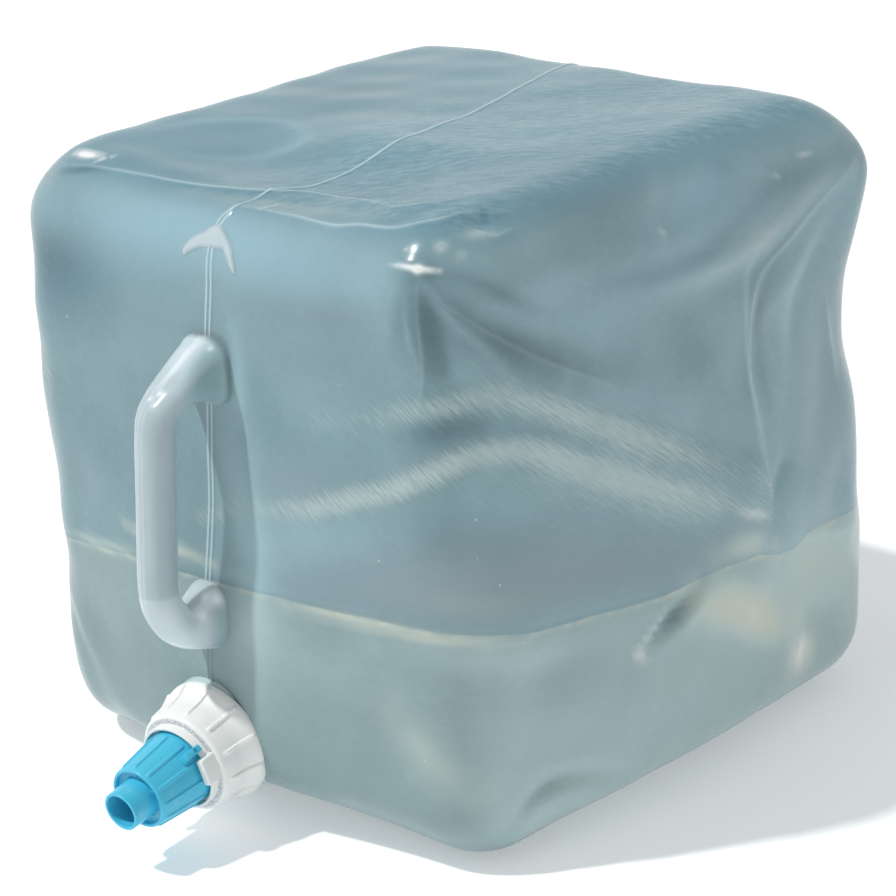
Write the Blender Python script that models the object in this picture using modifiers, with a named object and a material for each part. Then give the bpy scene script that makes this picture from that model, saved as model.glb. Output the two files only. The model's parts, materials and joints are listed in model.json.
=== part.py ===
# Collapsible water carrier: a blow-moulded film bag with a carry handle, a screw cap and a
# twist spigot. Metres, +Z up, the front panel towards -Y, origin in the middle of the base.

import math

import bmesh
import bpy
from mathutils import Vector

# Bag
BAG_WIDTH = 0.285
BAG_DEPTH = 0.282
BAG_HEIGHT = 0.285
EDGE_RADIUS = 0.036
FILM_THICKNESS = 0.0008
PANEL_SWELL = 0.018  # how far the water pushes each upright panel out
TOP_DIP = 0.009  # gutter of the top panel behind its front edge
TOP_DIP_SPAN = 0.060
TOP_DIP_FROM_EDGE = 0.012  # middle of the gutter, behind the rounded front edge
PANEL_PAST_EDGE = 0.005  # front and back panels reach this far past their rounded edges
PANEL_CUTS = 12
SWELL_HEIGHT_SHARE = 0.25
SWELL_SHARPNESS_SHARE = 2.6

# Clearances
PART_GAP = 0.0003  # between pieces that touch
BEAD_SINK_SHARE = 0.25  # of a thread bead's radius, sunk into its wall
CUT_OVERRUN = 0.004
MERGE_SHARE = 0.01  # of the gap, the distance at which corners are welded
SHARP_ANGLE = math.radians(40)
TUBE_TILT = math.radians(6)  # keeps a tube's corners off the corners of what it meets

# Carry handle, in the plane x = 0, measured from the front plane of the bag
HANDLE_RADIUS = 0.0088
HANDLE_WALL = 0.0016
HANDLE_TOP_DROP = 0.0633  # from the top of the bag
HANDLE_SHOULDER_DROP = 0.0902
HANDLE_SHOULDER_REACH = 0.0354
HANDLE_HEEL_HEIGHT = 0.101
HANDLE_HEEL_REACH = 0.0435
HANDLE_FOOT = 0.0855
HANDLE_ROOT_DEPTH = 0.010  # the legs start this far inside the front plane
HANDLE_BEND_RADIUS = 0.018
HANDLE_BEND_STEPS = 4

# Pinch-off tab of the moulding, above the handle on the front panel
TAB_WIDTH = 0.032
TAB_HEIGHT = 0.017
TAB_THICKNESS = 0.0012
TAB_BASE_DROP = 0.034  # from the top of the bag
TAB_OUTLINE_SHARES = (
    (-0.47, 0.18), (-0.41, 0.18), (-0.31, 0.24), (-0.19, 0.35), (-0.03, 0.35), (0.125, 0.41),
    (0.28, 0.41), (0.34, 0.24), (0.47, 0.06), (0.53, 0.00), (0.53, 0.24), (0.47, 0.53),
    (0.375, 0.71), (0.22, 0.94), (0.09, 1.00), (-0.03, 0.94), (-0.16, 0.82), (-0.31, 0.71),
    (-0.41, 0.53), (-0.47, 0.35))

# Axis of the neck and closure; places along it are counted from the rear rim of the cap
CLOSURE_TILT = math.radians(8.2)
CLOSURE_YAW = math.radians(5.7)  # the spigot points a little towards +X
CLOSURE_HEIGHT = 0.0398
CLOSURE_REACH = 0.0182  # the rear rim of the cap stands this far in front of the bag's plane
TURN_STEPS = 32

# Neck
NECK_RADIUS = 0.0211
NECK_WALL = 0.0018
NECK_LIP = 0.0164
SHOULDER_RADIUS = 0.0278
SHOULDER_FLARE = 0.0020
SHOULDER_EDGE = 0.0010
SHOULDER_SET_BACK = 0.0008  # the shoulder's ledge lies this far behind the cap's rim
SHOULDER_LENGTH = 0.0240
THREAD_PITCH = 0.0060
THREAD_BEAD = 0.0012
THREAD_TURN_COUNT = 1.15
THREAD_START = 0.0074

# Cap
CAP_RIM_RADIUS = 0.0284
CAP_WAIST_RADIUS = 0.0250
CAP_FRONT_RADIUS = 0.0234
CAP_LENGTH = 0.0223
CAP_FLARE_LENGTH = 0.0100
CAP_RIM_THICKNESS = 0.0019
CAP_THREAD_CLEARANCE = 0.0004
CAP_WALL = 0.0021
CAP_FRONT_ROUND = 0.0017
COLLAR_RADIUS = 0.0199
COLLAR_WALL = 0.0012
COLLAR_HEIGHT = 0.0044
GASKET_THICKNESS = 0.0011
GASKET_WIDTH = 0.0032
CAP_RIB_COUNT = 12
CAP_RIB_HEIGHT = 0.0008
CAP_RIB_WIDTH = 0.0016
CAP_RIB_FROM_RIM = 0.0022
CAP_RIB_FROM_FRONT = 0.0034
CAP_RIB_TURN = math.radians(-9)
LUG_REACH = 0.0219
LUG_WIDTH = 0.0120
LUG_HEIGHT = 0.0080
LUG_THICKNESS = 0.0037
LUG_TURN = math.radians(14)
LUG_COUNT = 2

# Spigot barrel, moulded with the cap, and its cam thread
BARREL_RADIUS = 0.0115
BARREL_WALL = 0.0021
BARREL_LENGTH = 0.0220
CAM_LEAD = 0.0120
CAM_BEAD = 0.0010
CAM_CLEARANCE = 0.0003
CAM_START_COUNT = 2
CAM_TURN_COUNT = 0.45
CAM_FROM_WALL = 0.0070
CAM_LAND = 0.0105  # length of the nozzle's bore that carries its cam beads

# Valve stem and its washer
STEM_RIM_WALL = 0.0013
STEM_RIM_HEIGHT = 0.0034
STEM_ROD_RADIUS = 0.0026
STEM_ROD_LENGTH = 0.0090
STEM_SPOKE_COUNT = 3
STEM_SPOKE_WIDTH = 0.0018
PLUG_RADIUS = 0.0076
PLUG_THICKNESS = 0.0016
PLUG_BOSS_HEIGHT = 0.0026
WASHER_THICKNESS = 0.0012

# Twist nozzle
SLEEVE_RADIUS = 0.0177
SLEEVE_FRONT_RADIUS = 0.0142
SLEEVE_LENGTH = 0.0297
SLEEVE_WALL = 0.0016
SLEEVE_ROUND = 0.0009
FRONT_RECESS = 0.0026
FRONT_WALL = 0.0020
SPOUT_RADIUS = 0.0090
SPOUT_ROOT_RADIUS = 0.0094
SPOUT_WALL = 0.0014
SPOUT_LENGTH = 0.0109
INNER_TUBE_RADIUS = 0.0086
INNER_TUBE_WALL = 0.0017
RING_GROOVE_DEPTH = 0.0009
RING_SECTION = 0.0006  # radius of the O-ring's section
RING_SECTION_STEPS = 8
RING_FROM_TIP = 0.0040
NOZZLE_RIB_COUNT = 12
NOZZLE_RIB_HEIGHT = 0.0007
NOZZLE_RIB_WIDTH = 0.0013
NOZZLE_RIB_FROM_BASE = 0.0060
NOZZLE_RIB_FROM_FRONT = 0.0020
NOZZLE_RIB_TURN = math.radians(29)
STOP_TAB_REACH = 0.0218
STOP_TAB_GAP = 0.0005  # over the collar that the tab sweeps past
STOP_TAB_OVERHANG = 0.0020  # beyond the collar's front edge, round its outside
STOP_TAB_WIDTH = 0.0032
STOP_TAB_LENGTH = 0.0073
STOP_TAB_TURN = math.radians(43)

# Sizes that follow from the ones above
HALF_BAG = Vector((BAG_WIDTH, BAG_DEPTH, BAG_HEIGHT)) / 2
JOIN_Y = BAG_DEPTH / 2 - EDGE_RADIUS - PANEL_PAST_EDGE
CLOSURE_Y = -(BAG_DEPTH / 2 + CLOSURE_REACH)
TAB_BASE = BAG_HEIGHT - TAB_BASE_DROP
BORE_RADIUS = NECK_RADIUS - NECK_WALL
SKIRT_BORE = NECK_RADIUS + THREAD_BEAD * (1 - BEAD_SINK_SHARE) + CAP_THREAD_CLEARANCE
GASKET_SEAT = NECK_LIP + PART_GAP + GASKET_THICKNESS + PART_GAP
CAP_INNER_FACE = CAP_LENGTH - CAP_WALL
BARREL_TOP = CAP_LENGTH + BARREL_LENGTH
BARREL_BORE = BARREL_RADIUS - BARREL_WALL
CAM_BORE = BARREL_RADIUS + CAM_BEAD * (1 - BEAD_SINK_SHARE) + CAM_CLEARANCE
STEM_BASE = CAP_INNER_FACE
PLUG_BASE = STEM_BASE + STEM_ROD_LENGTH
WASHER_BASE = PLUG_BASE + PLUG_THICKNESS + PART_GAP
INNER_TUBE_END = WASHER_BASE + WASHER_THICKNESS + PART_GAP
SLEEVE_BASE = CAP_LENGTH + PART_GAP
SLEEVE_FRONT = SLEEVE_BASE + SLEEVE_LENGTH
NOZZLE_FLOOR = SLEEVE_FRONT - FRONT_RECESS
NOZZLE_UNDERSIDE = NOZZLE_FLOOR - FRONT_WALL
SPOUT_TIP = SLEEVE_FRONT + SPOUT_LENGTH
RING_PLACE = INNER_TUBE_END + RING_FROM_TIP


# Scene helpers

def clear_scene():
    for item in list(bpy.data.objects):
        bpy.data.objects.remove(item, do_unlink=True)


def collection(name):
    made = bpy.data.collections.new(name)
    bpy.context.scene.collection.children.link(made)
    return made


def material(name, color, roughness, alpha=1.0):
    made = bpy.data.materials.new(name)
    made.use_nodes = True
    shader = made.node_tree.nodes["Principled BSDF"]
    shader.inputs["Base Color"].default_value = (*color, 1.0)
    shader.inputs["Roughness"].default_value = roughness
    shader.inputs["Metallic"].default_value = 0.0
    shader.inputs["Alpha"].default_value = alpha
    return made


def mesh_object(name, build, finish=None, parent=None):
    # A new object whose mesh is filled in by build(bm); a piece without a finish is a tool.
    mesh = bpy.data.meshes.new(name)
    bm = bmesh.new()
    build(bm)
    bm.to_mesh(mesh)
    bm.free()
    made = bpy.data.objects.new(name, mesh)
    made.parent = parent
    place(made, finish)
    return made


def place(made, finish):
    if finish is None:
        tools.objects.link(made)
        made.hide_render = True
        made.display_type = 'WIRE'
        return
    parts.objects.link(made)
    made.data.materials.append(finish)
    made.data.shade_smooth()
    made.data.set_sharp_from_angle(angle=SHARP_ANGLE)


def boolean(target, tool, operation):
    step = target.modifiers.new(tool.name, 'BOOLEAN')
    step.operation = operation
    step.solver = 'EXACT'
    step.object = tool


def turned(name, outline, finish=None, parent=None, steps=TURN_STEPS):
    # Closed outline of (radius, height) points that runs down the outer side, turned round Z.
    def build(bm):
        points = [bm.verts.new((radius, 0, height)) for radius, height in outline]
        for start, end in zip(points, points[1:] + points[:1]):
            bm.edges.new((start, end))

    made = mesh_object(name, build, finish, parent)
    screw = made.modifiers.new("turn", 'SCREW')
    screw.axis = 'Z'
    screw.angle = 2 * math.pi
    screw.steps = steps
    screw.render_steps = steps
    screw.use_merge_vertices = True
    screw.merge_threshold = PART_GAP * MERGE_SHARE
    screw.use_smooth_shade = True
    return made


def ring_outline(inner, outer, low, high):
    return [(outer, high), (outer, low), (inner, low), (inner, high)]


def tube(name, points, radius, resolution, parent=None, finish=None):
    # A round bar along the points, as a closed mesh.
    curve = bpy.data.curves.new(name, 'CURVE')
    curve.dimensions = '3D'
    curve.bevel_depth = radius
    curve.bevel_resolution = resolution
    curve.use_fill_caps = True
    spline = curve.splines.new('POLY')
    spline.points.add(len(points) - 1)
    for target, point in zip(spline.points, points):
        target.co = (*point, 1)
        target.tilt = TUBE_TILT
    bar = bpy.data.objects.new(name + "_curve", curve)
    tools.objects.link(bar)
    evaluated = bar.evaluated_get(bpy.context.evaluated_depsgraph_get())
    mesh = bpy.data.meshes.new_from_object(evaluated)
    bpy.data.objects.remove(bar)
    bm = bmesh.new()
    bm.from_mesh(mesh)
    bmesh.ops.remove_doubles(bm, verts=bm.verts, dist=PART_GAP * MERGE_SHARE)
    bm.to_mesh(mesh)
    bm.free()
    mesh.name = name
    made = bpy.data.objects.new(name, mesh)
    made.parent = parent
    place(made, finish)
    return made


def helix(radius, start, lead, turns, phase=0.0, steps=TURN_STEPS):
    # Points between the corners of the turned wall that carries the bead.
    count = max(2, round(turns * steps))
    for index in range(count + 1):
        turn = turns * index / count
        angle = phase + 2 * math.pi * (turn + 1 / (4 * steps))
        yield (radius * math.cos(angle), radius * math.sin(angle), start + lead * turn)


def fins(name, outline, width, turns, parent):
    # The same flat fin at several turns round Z; outline is (radius, height).
    def build(bm):
        for turn in turns:
            along = Vector((math.cos(turn), math.sin(turn), 0))
            side = Vector((-math.sin(turn), math.cos(turn), 0)) * width
            corners = [bm.verts.new(along * r + Vector((0, 0, h)) - side / 2) for r, h in outline]
            face = bm.faces.new(corners)
            pushed = bmesh.ops.extrude_face_region(bm, geom=[face])["geom"]
            moved = [item for item in pushed if isinstance(item, bmesh.types.BMVert)]
            bmesh.ops.translate(bm, verts=moved, vec=side)
        bmesh.ops.recalc_face_normals(bm, faces=bm.faces)

    return mesh_object(name, build, parent=parent)


def round_turns(count, first):
    return [first + 2 * math.pi * index / count for index in range(count)]


# Form of the bag

def swell_at(across, height):
    # Share of the full swell, zero at the edges and greatest low on the panel.
    low = SWELL_HEIGHT_SHARE
    height = min(max(height, 0.0), 1.0)
    rise = (height / low) ** (SWELL_SHARPNESS_SHARE * low)
    fall = ((1 - height) / (1 - low)) ** (SWELL_SHARPNESS_SHARE * (1 - low))
    return (1 - min(across * across, 1.0)) ** 2 * rise * fall


def dip_at(x, y):
    # Share of the gutter's depth across the top panel.
    middle = -(HALF_BAG.y - EDGE_RADIUS - TOP_DIP_FROM_EDGE)
    along = min(((y - middle) / TOP_DIP_SPAN) ** 2, 1.0)
    across = min((x / HALF_BAG.x) ** 2, 1.0)
    return (1 - along) ** 2 * (1 - across) ** 2


def bag_point(unit, lift=0.0):
    # A point of the unit cube's skin, moved to the bag's outer surface.
    flat = Vector(unit[axis] * HALF_BAG[axis] for axis in range(3))
    core = Vector(
        min(max(flat[axis], EDGE_RADIUS - HALF_BAG[axis]), HALF_BAG[axis] - EDGE_RADIUS)
        for axis in range(3))
    normal = (flat - core).normalized()
    point = core + normal * (EDGE_RADIUS + lift)
    height = (flat.z + HALF_BAG.z) / BAG_HEIGHT
    point.x += normal.x * PANEL_SWELL * swell_at(flat.y / HALF_BAG.y, height)
    point.y += normal.y * PANEL_SWELL * swell_at(flat.x / HALF_BAG.x, height)
    point.z -= max(normal.z, 0.0) * TOP_DIP * dip_at(flat.x, flat.y)
    point.z += HALF_BAG.z
    return point


def front_point(x, height, lift=0.0):
    # The bag's outer surface at a place that is seen from the front.
    up = height - HALF_BAG.z
    beyond = max(up - (HALF_BAG.z - EDGE_RADIUS), 0.0)
    if beyond > 0:
        slope = beyond / math.sqrt(EDGE_RADIUS ** 2 - beyond ** 2)
        up = HALF_BAG.z - EDGE_RADIUS + EDGE_RADIUS * slope
    return bag_point((x / HALF_BAG.x, -1.0, up / HALF_BAG.z), lift)


def cube_skin(bm):
    bmesh.ops.create_cube(bm, size=2)
    bmesh.ops.subdivide_edges(bm, edges=bm.edges, cuts=PANEL_CUTS, use_grid_fill=True)


def cut_away(bm, axis, place_share, side):
    # Removes what lies on that side of a plane across the axis.
    direction = Vector((0, 0, 0))
    direction[axis] = 1
    geometry = list(bm.verts) + list(bm.edges) + list(bm.faces)
    bmesh.ops.bisect_plane(bm, geom=geometry, plane_co=direction * place_share,
                           plane_no=direction * side, clear_outer=True)


def to_bag_surface(bm, lift=0.0):
    for vertex in bm.verts:
        vertex.co = bag_point(vertex.co, lift)


def film(made):
    skin = made.modifiers.new("film", 'SOLIDIFY')
    skin.thickness = FILM_THICKNESS
    skin.offset = -1


def end_panel(name, side):
    # Front (side -1) or back (side 1) panel with the rounded edges round it.
    def build(bm):
        cube_skin(bm)
        cut_away(bm, 1, side * (JOIN_Y + PART_GAP / 2) / HALF_BAG.y, -side)
        to_bag_surface(bm)

    made = mesh_object(name, build, film_finish)
    film(made)
    return made


def fold_panel(name, axis, side):
    # One of the four panels between the front and the back, which fold.
    def build(bm):
        cube_skin(bm)
        outward = Vector((0, 0, 0))
        outward[axis] = side
        gone = [face for face in bm.faces if face.normal.dot(outward) < 0.5]
        bmesh.ops.delete(bm, geom=gone, context='FACES')
        across = 2 - axis
        for edge in (-1, 1):
            cut_away(bm, across, edge * (1 - 2 * PART_GAP / HALF_BAG[across]), edge)
            cut_away(bm, 1, edge * (JOIN_Y - PART_GAP / 2) / HALF_BAG.y, edge)
        to_bag_surface(bm)

    made = mesh_object(name, build, film_finish)
    film(made)
    return made


# Handle

def rounded_path(corners, radius, steps):
    # The corners of a flat path in y and z, with a round bend at each inner one.
    path = [Vector((0, *corners[0]))]
    for before, corner, after in zip(corners, corners[1:], corners[2:]):
        middle = Vector((0, *corner))
        to_start = (Vector((0, *before)) - middle).normalized()
        to_end = (Vector((0, *after)) - middle).normalized()
        half_angle = to_start.angle(to_end) / 2
        reach = radius / math.tan(half_angle)
        centre = middle + (to_start + to_end).normalized() * (radius / math.sin(half_angle))
        start = (middle + to_start * reach - centre).normalized()
        end = (middle + to_end * reach - centre).normalized()
        for step in range(steps + 1):
            path.append(centre + start.slerp(end, step / steps) * radius)
    path.append(Vector((0, *corners[-1])))
    return path


def handle_path(overrun=0.0):
    front = -BAG_DEPTH / 2
    root = front + HANDLE_ROOT_DEPTH
    corners = [
        (root, BAG_HEIGHT - HANDLE_TOP_DROP),
        (front - HANDLE_SHOULDER_REACH, BAG_HEIGHT - HANDLE_SHOULDER_DROP),
        (front - HANDLE_HEEL_REACH, HANDLE_HEEL_HEIGHT),
        (root, HANDLE_FOOT)]
    path = rounded_path(corners, HANDLE_BEND_RADIUS, HANDLE_BEND_STEPS)
    path[0] += (path[0] - path[1]).normalized() * overrun
    path[-1] += (path[-1] - path[-2]).normalized() * overrun
    return path


def carry_handle(core):
    # The hollow handle; returns its bore, which also opens the front panel.
    made = tube("carry_handle", handle_path(), HANDLE_RADIUS, 4, finish=handle_finish)
    bore = tube("handle_bore", handle_path(CUT_OVERRUN), HANDLE_RADIUS - HANDLE_WALL, 4)
    boolean(made, bore, 'DIFFERENCE')
    boolean(made, core, 'DIFFERENCE')
    return bore


def pinch_off_tab():
    # A thin arrow-shaped leaf that lies on the front panel.
    def build(bm):
        outline = [
            bm.verts.new((x * TAB_WIDTH, 0, TAB_BASE + z * TAB_HEIGHT))
            for x, z in TAB_OUTLINE_SHARES]
        bm.faces.new(outline)
        bmesh.ops.triangulate(bm, faces=bm.faces)
        bmesh.ops.subdivide_edges(bm, edges=bm.edges, cuts=1)
        bmesh.ops.triangulate(bm, faces=bm.faces)
        for vertex in bm.verts:
            vertex.co = front_point(vertex.co.x, vertex.co.z, PART_GAP + TAB_THICKNESS)

    made = mesh_object("pinch_off_tab", build, handle_finish)
    skin = made.modifiers.new("thickness", 'SOLIDIFY')
    skin.thickness = TAB_THICKNESS
    skin.offset = -1
    return made


# Neck and closure, in the frame of the closure's axis

def closure_frame():
    axis = bpy.data.objects.new("closure_axis", None)
    parts.objects.link(axis)
    axis.location = (0, CLOSURE_Y, CLOSURE_HEIGHT)
    axis.rotation_euler = (math.pi / 2 + CLOSURE_TILT, 0, CLOSURE_YAW)
    return axis


def threaded_neck(axis, core):
    ledge = -SHOULDER_SET_BACK
    inner_ledge = ledge - NECK_WALL
    root = -SHOULDER_LENGTH
    flare = SHOULDER_RADIUS + SHOULDER_FLARE
    outline = [
        (NECK_RADIUS, NECK_LIP),
        (NECK_RADIUS, ledge),
        (SHOULDER_RADIUS - SHOULDER_EDGE, ledge),
        (SHOULDER_RADIUS, ledge - SHOULDER_EDGE),
        (flare, root / 2),
        (flare, root),
        (flare - NECK_WALL, root),
        (flare - NECK_WALL, root / 2),
        (SHOULDER_RADIUS - NECK_WALL, inner_ledge - SHOULDER_EDGE),
        (SHOULDER_RADIUS - NECK_WALL - SHOULDER_EDGE, inner_ledge),
        (BORE_RADIUS, inner_ledge),
        (BORE_RADIUS, NECK_LIP)]
    made = turned("threaded_neck", outline, film_finish, axis)
    wall = NECK_RADIUS - THREAD_BEAD * BEAD_SINK_SHARE
    route = list(helix(wall, THREAD_START, THREAD_PITCH, THREAD_TURN_COUNT))
    thread = tube("neck_thread", route, THREAD_BEAD, 1, parent=axis)
    boolean(made, thread, 'UNION')
    boolean(made, core, 'DIFFERENCE')


def cap_outline():
    rim = CAP_RIM_RADIUS
    bore_flare = rim - CAP_RIM_THICKNESS
    land = SKIRT_BORE - GASKET_WIDTH - PART_GAP
    collar_inner = COLLAR_RADIUS - COLLAR_WALL
    collar_top = CAP_LENGTH + COLLAR_HEIGHT
    return [
        (BARREL_RADIUS, BARREL_TOP),
        (BARREL_RADIUS, CAP_LENGTH),
        (collar_inner, CAP_LENGTH),
        (collar_inner, collar_top),
        (COLLAR_RADIUS, collar_top),
        (COLLAR_RADIUS, CAP_LENGTH + PART_GAP),
        (CAP_FRONT_RADIUS - CAP_FRONT_ROUND, CAP_LENGTH - PART_GAP),
        (CAP_FRONT_RADIUS, CAP_LENGTH - CAP_FRONT_ROUND),
        (CAP_WAIST_RADIUS, CAP_FLARE_LENGTH),
        ((CAP_WAIST_RADIUS + rim) / 2, CAP_FLARE_LENGTH / 2),
        (rim, CAP_FLARE_LENGTH / 5),
        (rim, 0),
        (bore_flare, 0),
        (bore_flare, CAP_FLARE_LENGTH / 5),
        (SKIRT_BORE, CAP_FLARE_LENGTH / 2),
        (SKIRT_BORE, GASKET_SEAT),
        (land, GASKET_SEAT),
        (land, CAP_INNER_FACE),
        (BARREL_BORE, CAP_INNER_FACE),
        (BARREL_BORE, BARREL_TOP)]


def skirt_radius(height):
    # Outer radius of the cap's skirt above its flare.
    share = (height - CAP_FLARE_LENGTH) / (CAP_LENGTH - CAP_FRONT_ROUND - CAP_FLARE_LENGTH)
    return CAP_WAIST_RADIUS + (CAP_FRONT_RADIUS - CAP_WAIST_RADIUS) * share


def screw_cap(axis):
    made = turned("screw_cap", cap_outline(), cap_finish, axis)
    wall = SKIRT_BORE + THREAD_BEAD * BEAD_SINK_SHARE
    route = list(helix(wall, THREAD_START - THREAD_PITCH / 2, THREAD_PITCH, THREAD_TURN_COUNT))
    boolean(made, tube("cap_thread", route, THREAD_BEAD, 1, parent=axis), 'UNION')
    rib_top = CAP_LENGTH - CAP_RIB_FROM_FRONT
    middle = (CAP_WAIST_RADIUS + CAP_RIM_RADIUS) / 2
    rib = [
        (SKIRT_BORE + CAP_WALL / 2, CAP_RIB_FROM_RIM),
        (CAP_RIM_RADIUS, CAP_RIB_FROM_RIM),
        (middle + CAP_RIB_HEIGHT, CAP_FLARE_LENGTH / 2),
        (CAP_WAIST_RADIUS + CAP_RIB_HEIGHT, CAP_FLARE_LENGTH),
        (skirt_radius(rib_top) + CAP_RIB_HEIGHT, rib_top - CAP_RIB_HEIGHT),
        (skirt_radius(rib_top), rib_top),
        (SKIRT_BORE, rib_top)]
    turns = round_turns(CAP_RIB_COUNT, CAP_RIB_TURN)
    boolean(made, fins("cap_ribs", rib, CAP_RIB_WIDTH, turns, axis), 'UNION')
    lug = [
        (LUG_REACH - LUG_THICKNESS, CAP_INNER_FACE + CAP_WALL / 2),
        (LUG_REACH, CAP_INNER_FACE + CAP_WALL / 2),
        (LUG_REACH, CAP_LENGTH + LUG_HEIGHT),
        (LUG_REACH - LUG_THICKNESS, CAP_LENGTH + LUG_HEIGHT)]
    turns = round_turns(LUG_COUNT, LUG_TURN)
    boolean(made, fins("stop_lugs", lug, LUG_WIDTH, turns, axis), 'UNION')
    wall = BARREL_RADIUS - CAM_BEAD * BEAD_SINK_SHARE
    for phase in round_turns(CAM_START_COUNT, 0):
        route = list(helix(wall, CAP_LENGTH + CAM_FROM_WALL, CAM_LEAD, CAM_TURN_COUNT, phase))
        boolean(made, tube("barrel_cam", route, CAM_BEAD, 1, parent=axis), 'UNION')
    return made


def cap_gasket(axis):
    low = NECK_LIP + PART_GAP
    outer = SKIRT_BORE - PART_GAP
    outline = ring_outline(outer - GASKET_WIDTH, outer, low, low + GASKET_THICKNESS)
    turned("cap_gasket", outline, seal_finish, axis)


def valve_stem(axis):
    # A rim pressed into the barrel, spokes, and a rod that carries the plug.
    rim_outer = BARREL_BORE - PART_GAP
    rim = ring_outline(rim_outer - STEM_RIM_WALL, rim_outer, STEM_BASE,
                       STEM_BASE + STEM_RIM_HEIGHT)
    made = turned("valve_stem", rim, cap_finish, axis)
    plug_top = PLUG_BASE + PLUG_THICKNESS
    rod = [
        (0, plug_top + PLUG_BOSS_HEIGHT),
        (STEM_ROD_RADIUS, plug_top + PLUG_BOSS_HEIGHT),
        (STEM_ROD_RADIUS, plug_top),
        (PLUG_RADIUS, plug_top),
        (PLUG_RADIUS, PLUG_BASE),
        (STEM_ROD_RADIUS, PLUG_BASE),
        (STEM_ROD_RADIUS, STEM_BASE),
        (0, STEM_BASE)]
    boolean(made, turned("stem_rod", rod, parent=axis), 'UNION')
    spoke = ring_outline(STEM_ROD_RADIUS / 2, rim_outer - STEM_RIM_WALL / 2,
                         STEM_BASE + PART_GAP, STEM_BASE + STEM_RIM_HEIGHT - PART_GAP)
    turns = round_turns(STEM_SPOKE_COUNT, math.pi / 2)
    boolean(made, fins("stem_spokes", spoke, STEM_SPOKE_WIDTH, turns, axis), 'UNION')
    return made


def seat_washer(axis):
    outline = ring_outline(STEM_ROD_RADIUS + PART_GAP, PLUG_RADIUS, WASHER_BASE,
                           WASHER_BASE + WASHER_THICKNESS)
    turned("seat_washer", outline, seal_finish, axis)


def nozzle_outline():
    tube_bore = INNER_TUBE_RADIUS - INNER_TUBE_WALL
    groove = INNER_TUBE_RADIUS - RING_GROOVE_DEPTH
    groove_low = RING_PLACE - RING_SECTION - PART_GAP
    groove_high = RING_PLACE + RING_SECTION + PART_GAP
    rim_inner = SLEEVE_FRONT_RADIUS - SLEEVE_WALL
    spout_bore = SPOUT_RADIUS - SPOUT_WALL
    return [
        (SPOUT_RADIUS - SPOUT_WALL / 2, SPOUT_TIP),
        (SPOUT_RADIUS, SPOUT_TIP - SPOUT_WALL / 2),
        (SPOUT_ROOT_RADIUS, NOZZLE_FLOOR),
        (rim_inner, NOZZLE_FLOOR),
        (rim_inner, SLEEVE_FRONT - SLEEVE_ROUND / 2),
        (rim_inner + SLEEVE_ROUND / 2, SLEEVE_FRONT),
        (SLEEVE_FRONT_RADIUS - SLEEVE_ROUND, SLEEVE_FRONT),
        (SLEEVE_FRONT_RADIUS, SLEEVE_FRONT - SLEEVE_ROUND),
        (SLEEVE_RADIUS, SLEEVE_BASE),
        (SLEEVE_RADIUS - SLEEVE_WALL, SLEEVE_BASE),
        (CAM_BORE, NOZZLE_UNDERSIDE - CAM_LAND),
        (CAM_BORE, NOZZLE_UNDERSIDE),
        (INNER_TUBE_RADIUS, NOZZLE_UNDERSIDE),
        (INNER_TUBE_RADIUS, groove_high),
        (groove, groove_high),
        (groove, groove_low),
        (INNER_TUBE_RADIUS, groove_low),
        (INNER_TUBE_RADIUS, INNER_TUBE_END),
        (tube_bore, INNER_TUBE_END),
        (tube_bore, NOZZLE_FLOOR),
        (spout_bore, NOZZLE_FLOOR + SPOUT_WALL),
        (spout_bore, SPOUT_TIP)]


def sleeve_radius(height):
    share = (height - SLEEVE_BASE) / (SLEEVE_FRONT - SLEEVE_ROUND - SLEEVE_BASE)
    return SLEEVE_RADIUS + (SLEEVE_FRONT_RADIUS - SLEEVE_RADIUS) * share


def spigot_nozzle(axis):
    made = turned("spigot_nozzle", nozzle_outline(), nozzle_finish, axis)
    low = SLEEVE_BASE + NOZZLE_RIB_FROM_BASE
    high = SLEEVE_FRONT - NOZZLE_RIB_FROM_FRONT
    inside = SLEEVE_WALL / 2
    rib = [
        (sleeve_radius(low) - inside, low),
        (sleeve_radius(low), low),
        (sleeve_radius(low) + NOZZLE_RIB_HEIGHT, low + NOZZLE_RIB_HEIGHT),
        (sleeve_radius(high) + NOZZLE_RIB_HEIGHT, high - NOZZLE_RIB_HEIGHT),
        (sleeve_radius(high), high),
        (sleeve_radius(high) - inside, high)]
    turns = round_turns(NOZZLE_RIB_COUNT, NOZZLE_RIB_TURN)
    boolean(made, fins("nozzle_ribs", rib, NOZZLE_RIB_WIDTH, turns, axis), 'UNION')
    low = CAP_LENGTH + COLLAR_HEIGHT + STOP_TAB_GAP
    high = low + STOP_TAB_LENGTH
    stop = [
        (sleeve_radius(low) - inside, low),
        (COLLAR_RADIUS + STOP_TAB_GAP, low),
        (COLLAR_RADIUS + STOP_TAB_GAP, low - STOP_TAB_OVERHANG),
        (STOP_TAB_REACH, low - STOP_TAB_OVERHANG),
        (STOP_TAB_REACH - PART_GAP, high - SLEEVE_ROUND),
        (sleeve_radius(high), high),
        (sleeve_radius(high) - inside, high)]
    boolean(made, fins("stop_tab", stop, STOP_TAB_WIDTH, [STOP_TAB_TURN], axis), 'UNION')
    low = CAP_LENGTH + CAM_FROM_WALL + CAM_LEAD * (CAM_TURN_COUNT / 2 + 1 / 4)
    wall = CAM_BORE + CAM_BEAD * BEAD_SINK_SHARE
    for phase in round_turns(CAM_START_COUNT, math.pi * CAM_TURN_COUNT):
        route = list(helix(wall, low, CAM_LEAD, CAM_TURN_COUNT / 2, phase))
        boolean(made, tube("sleeve_cam", route, CAM_BEAD, 1, parent=axis), 'UNION')
    return made


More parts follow.
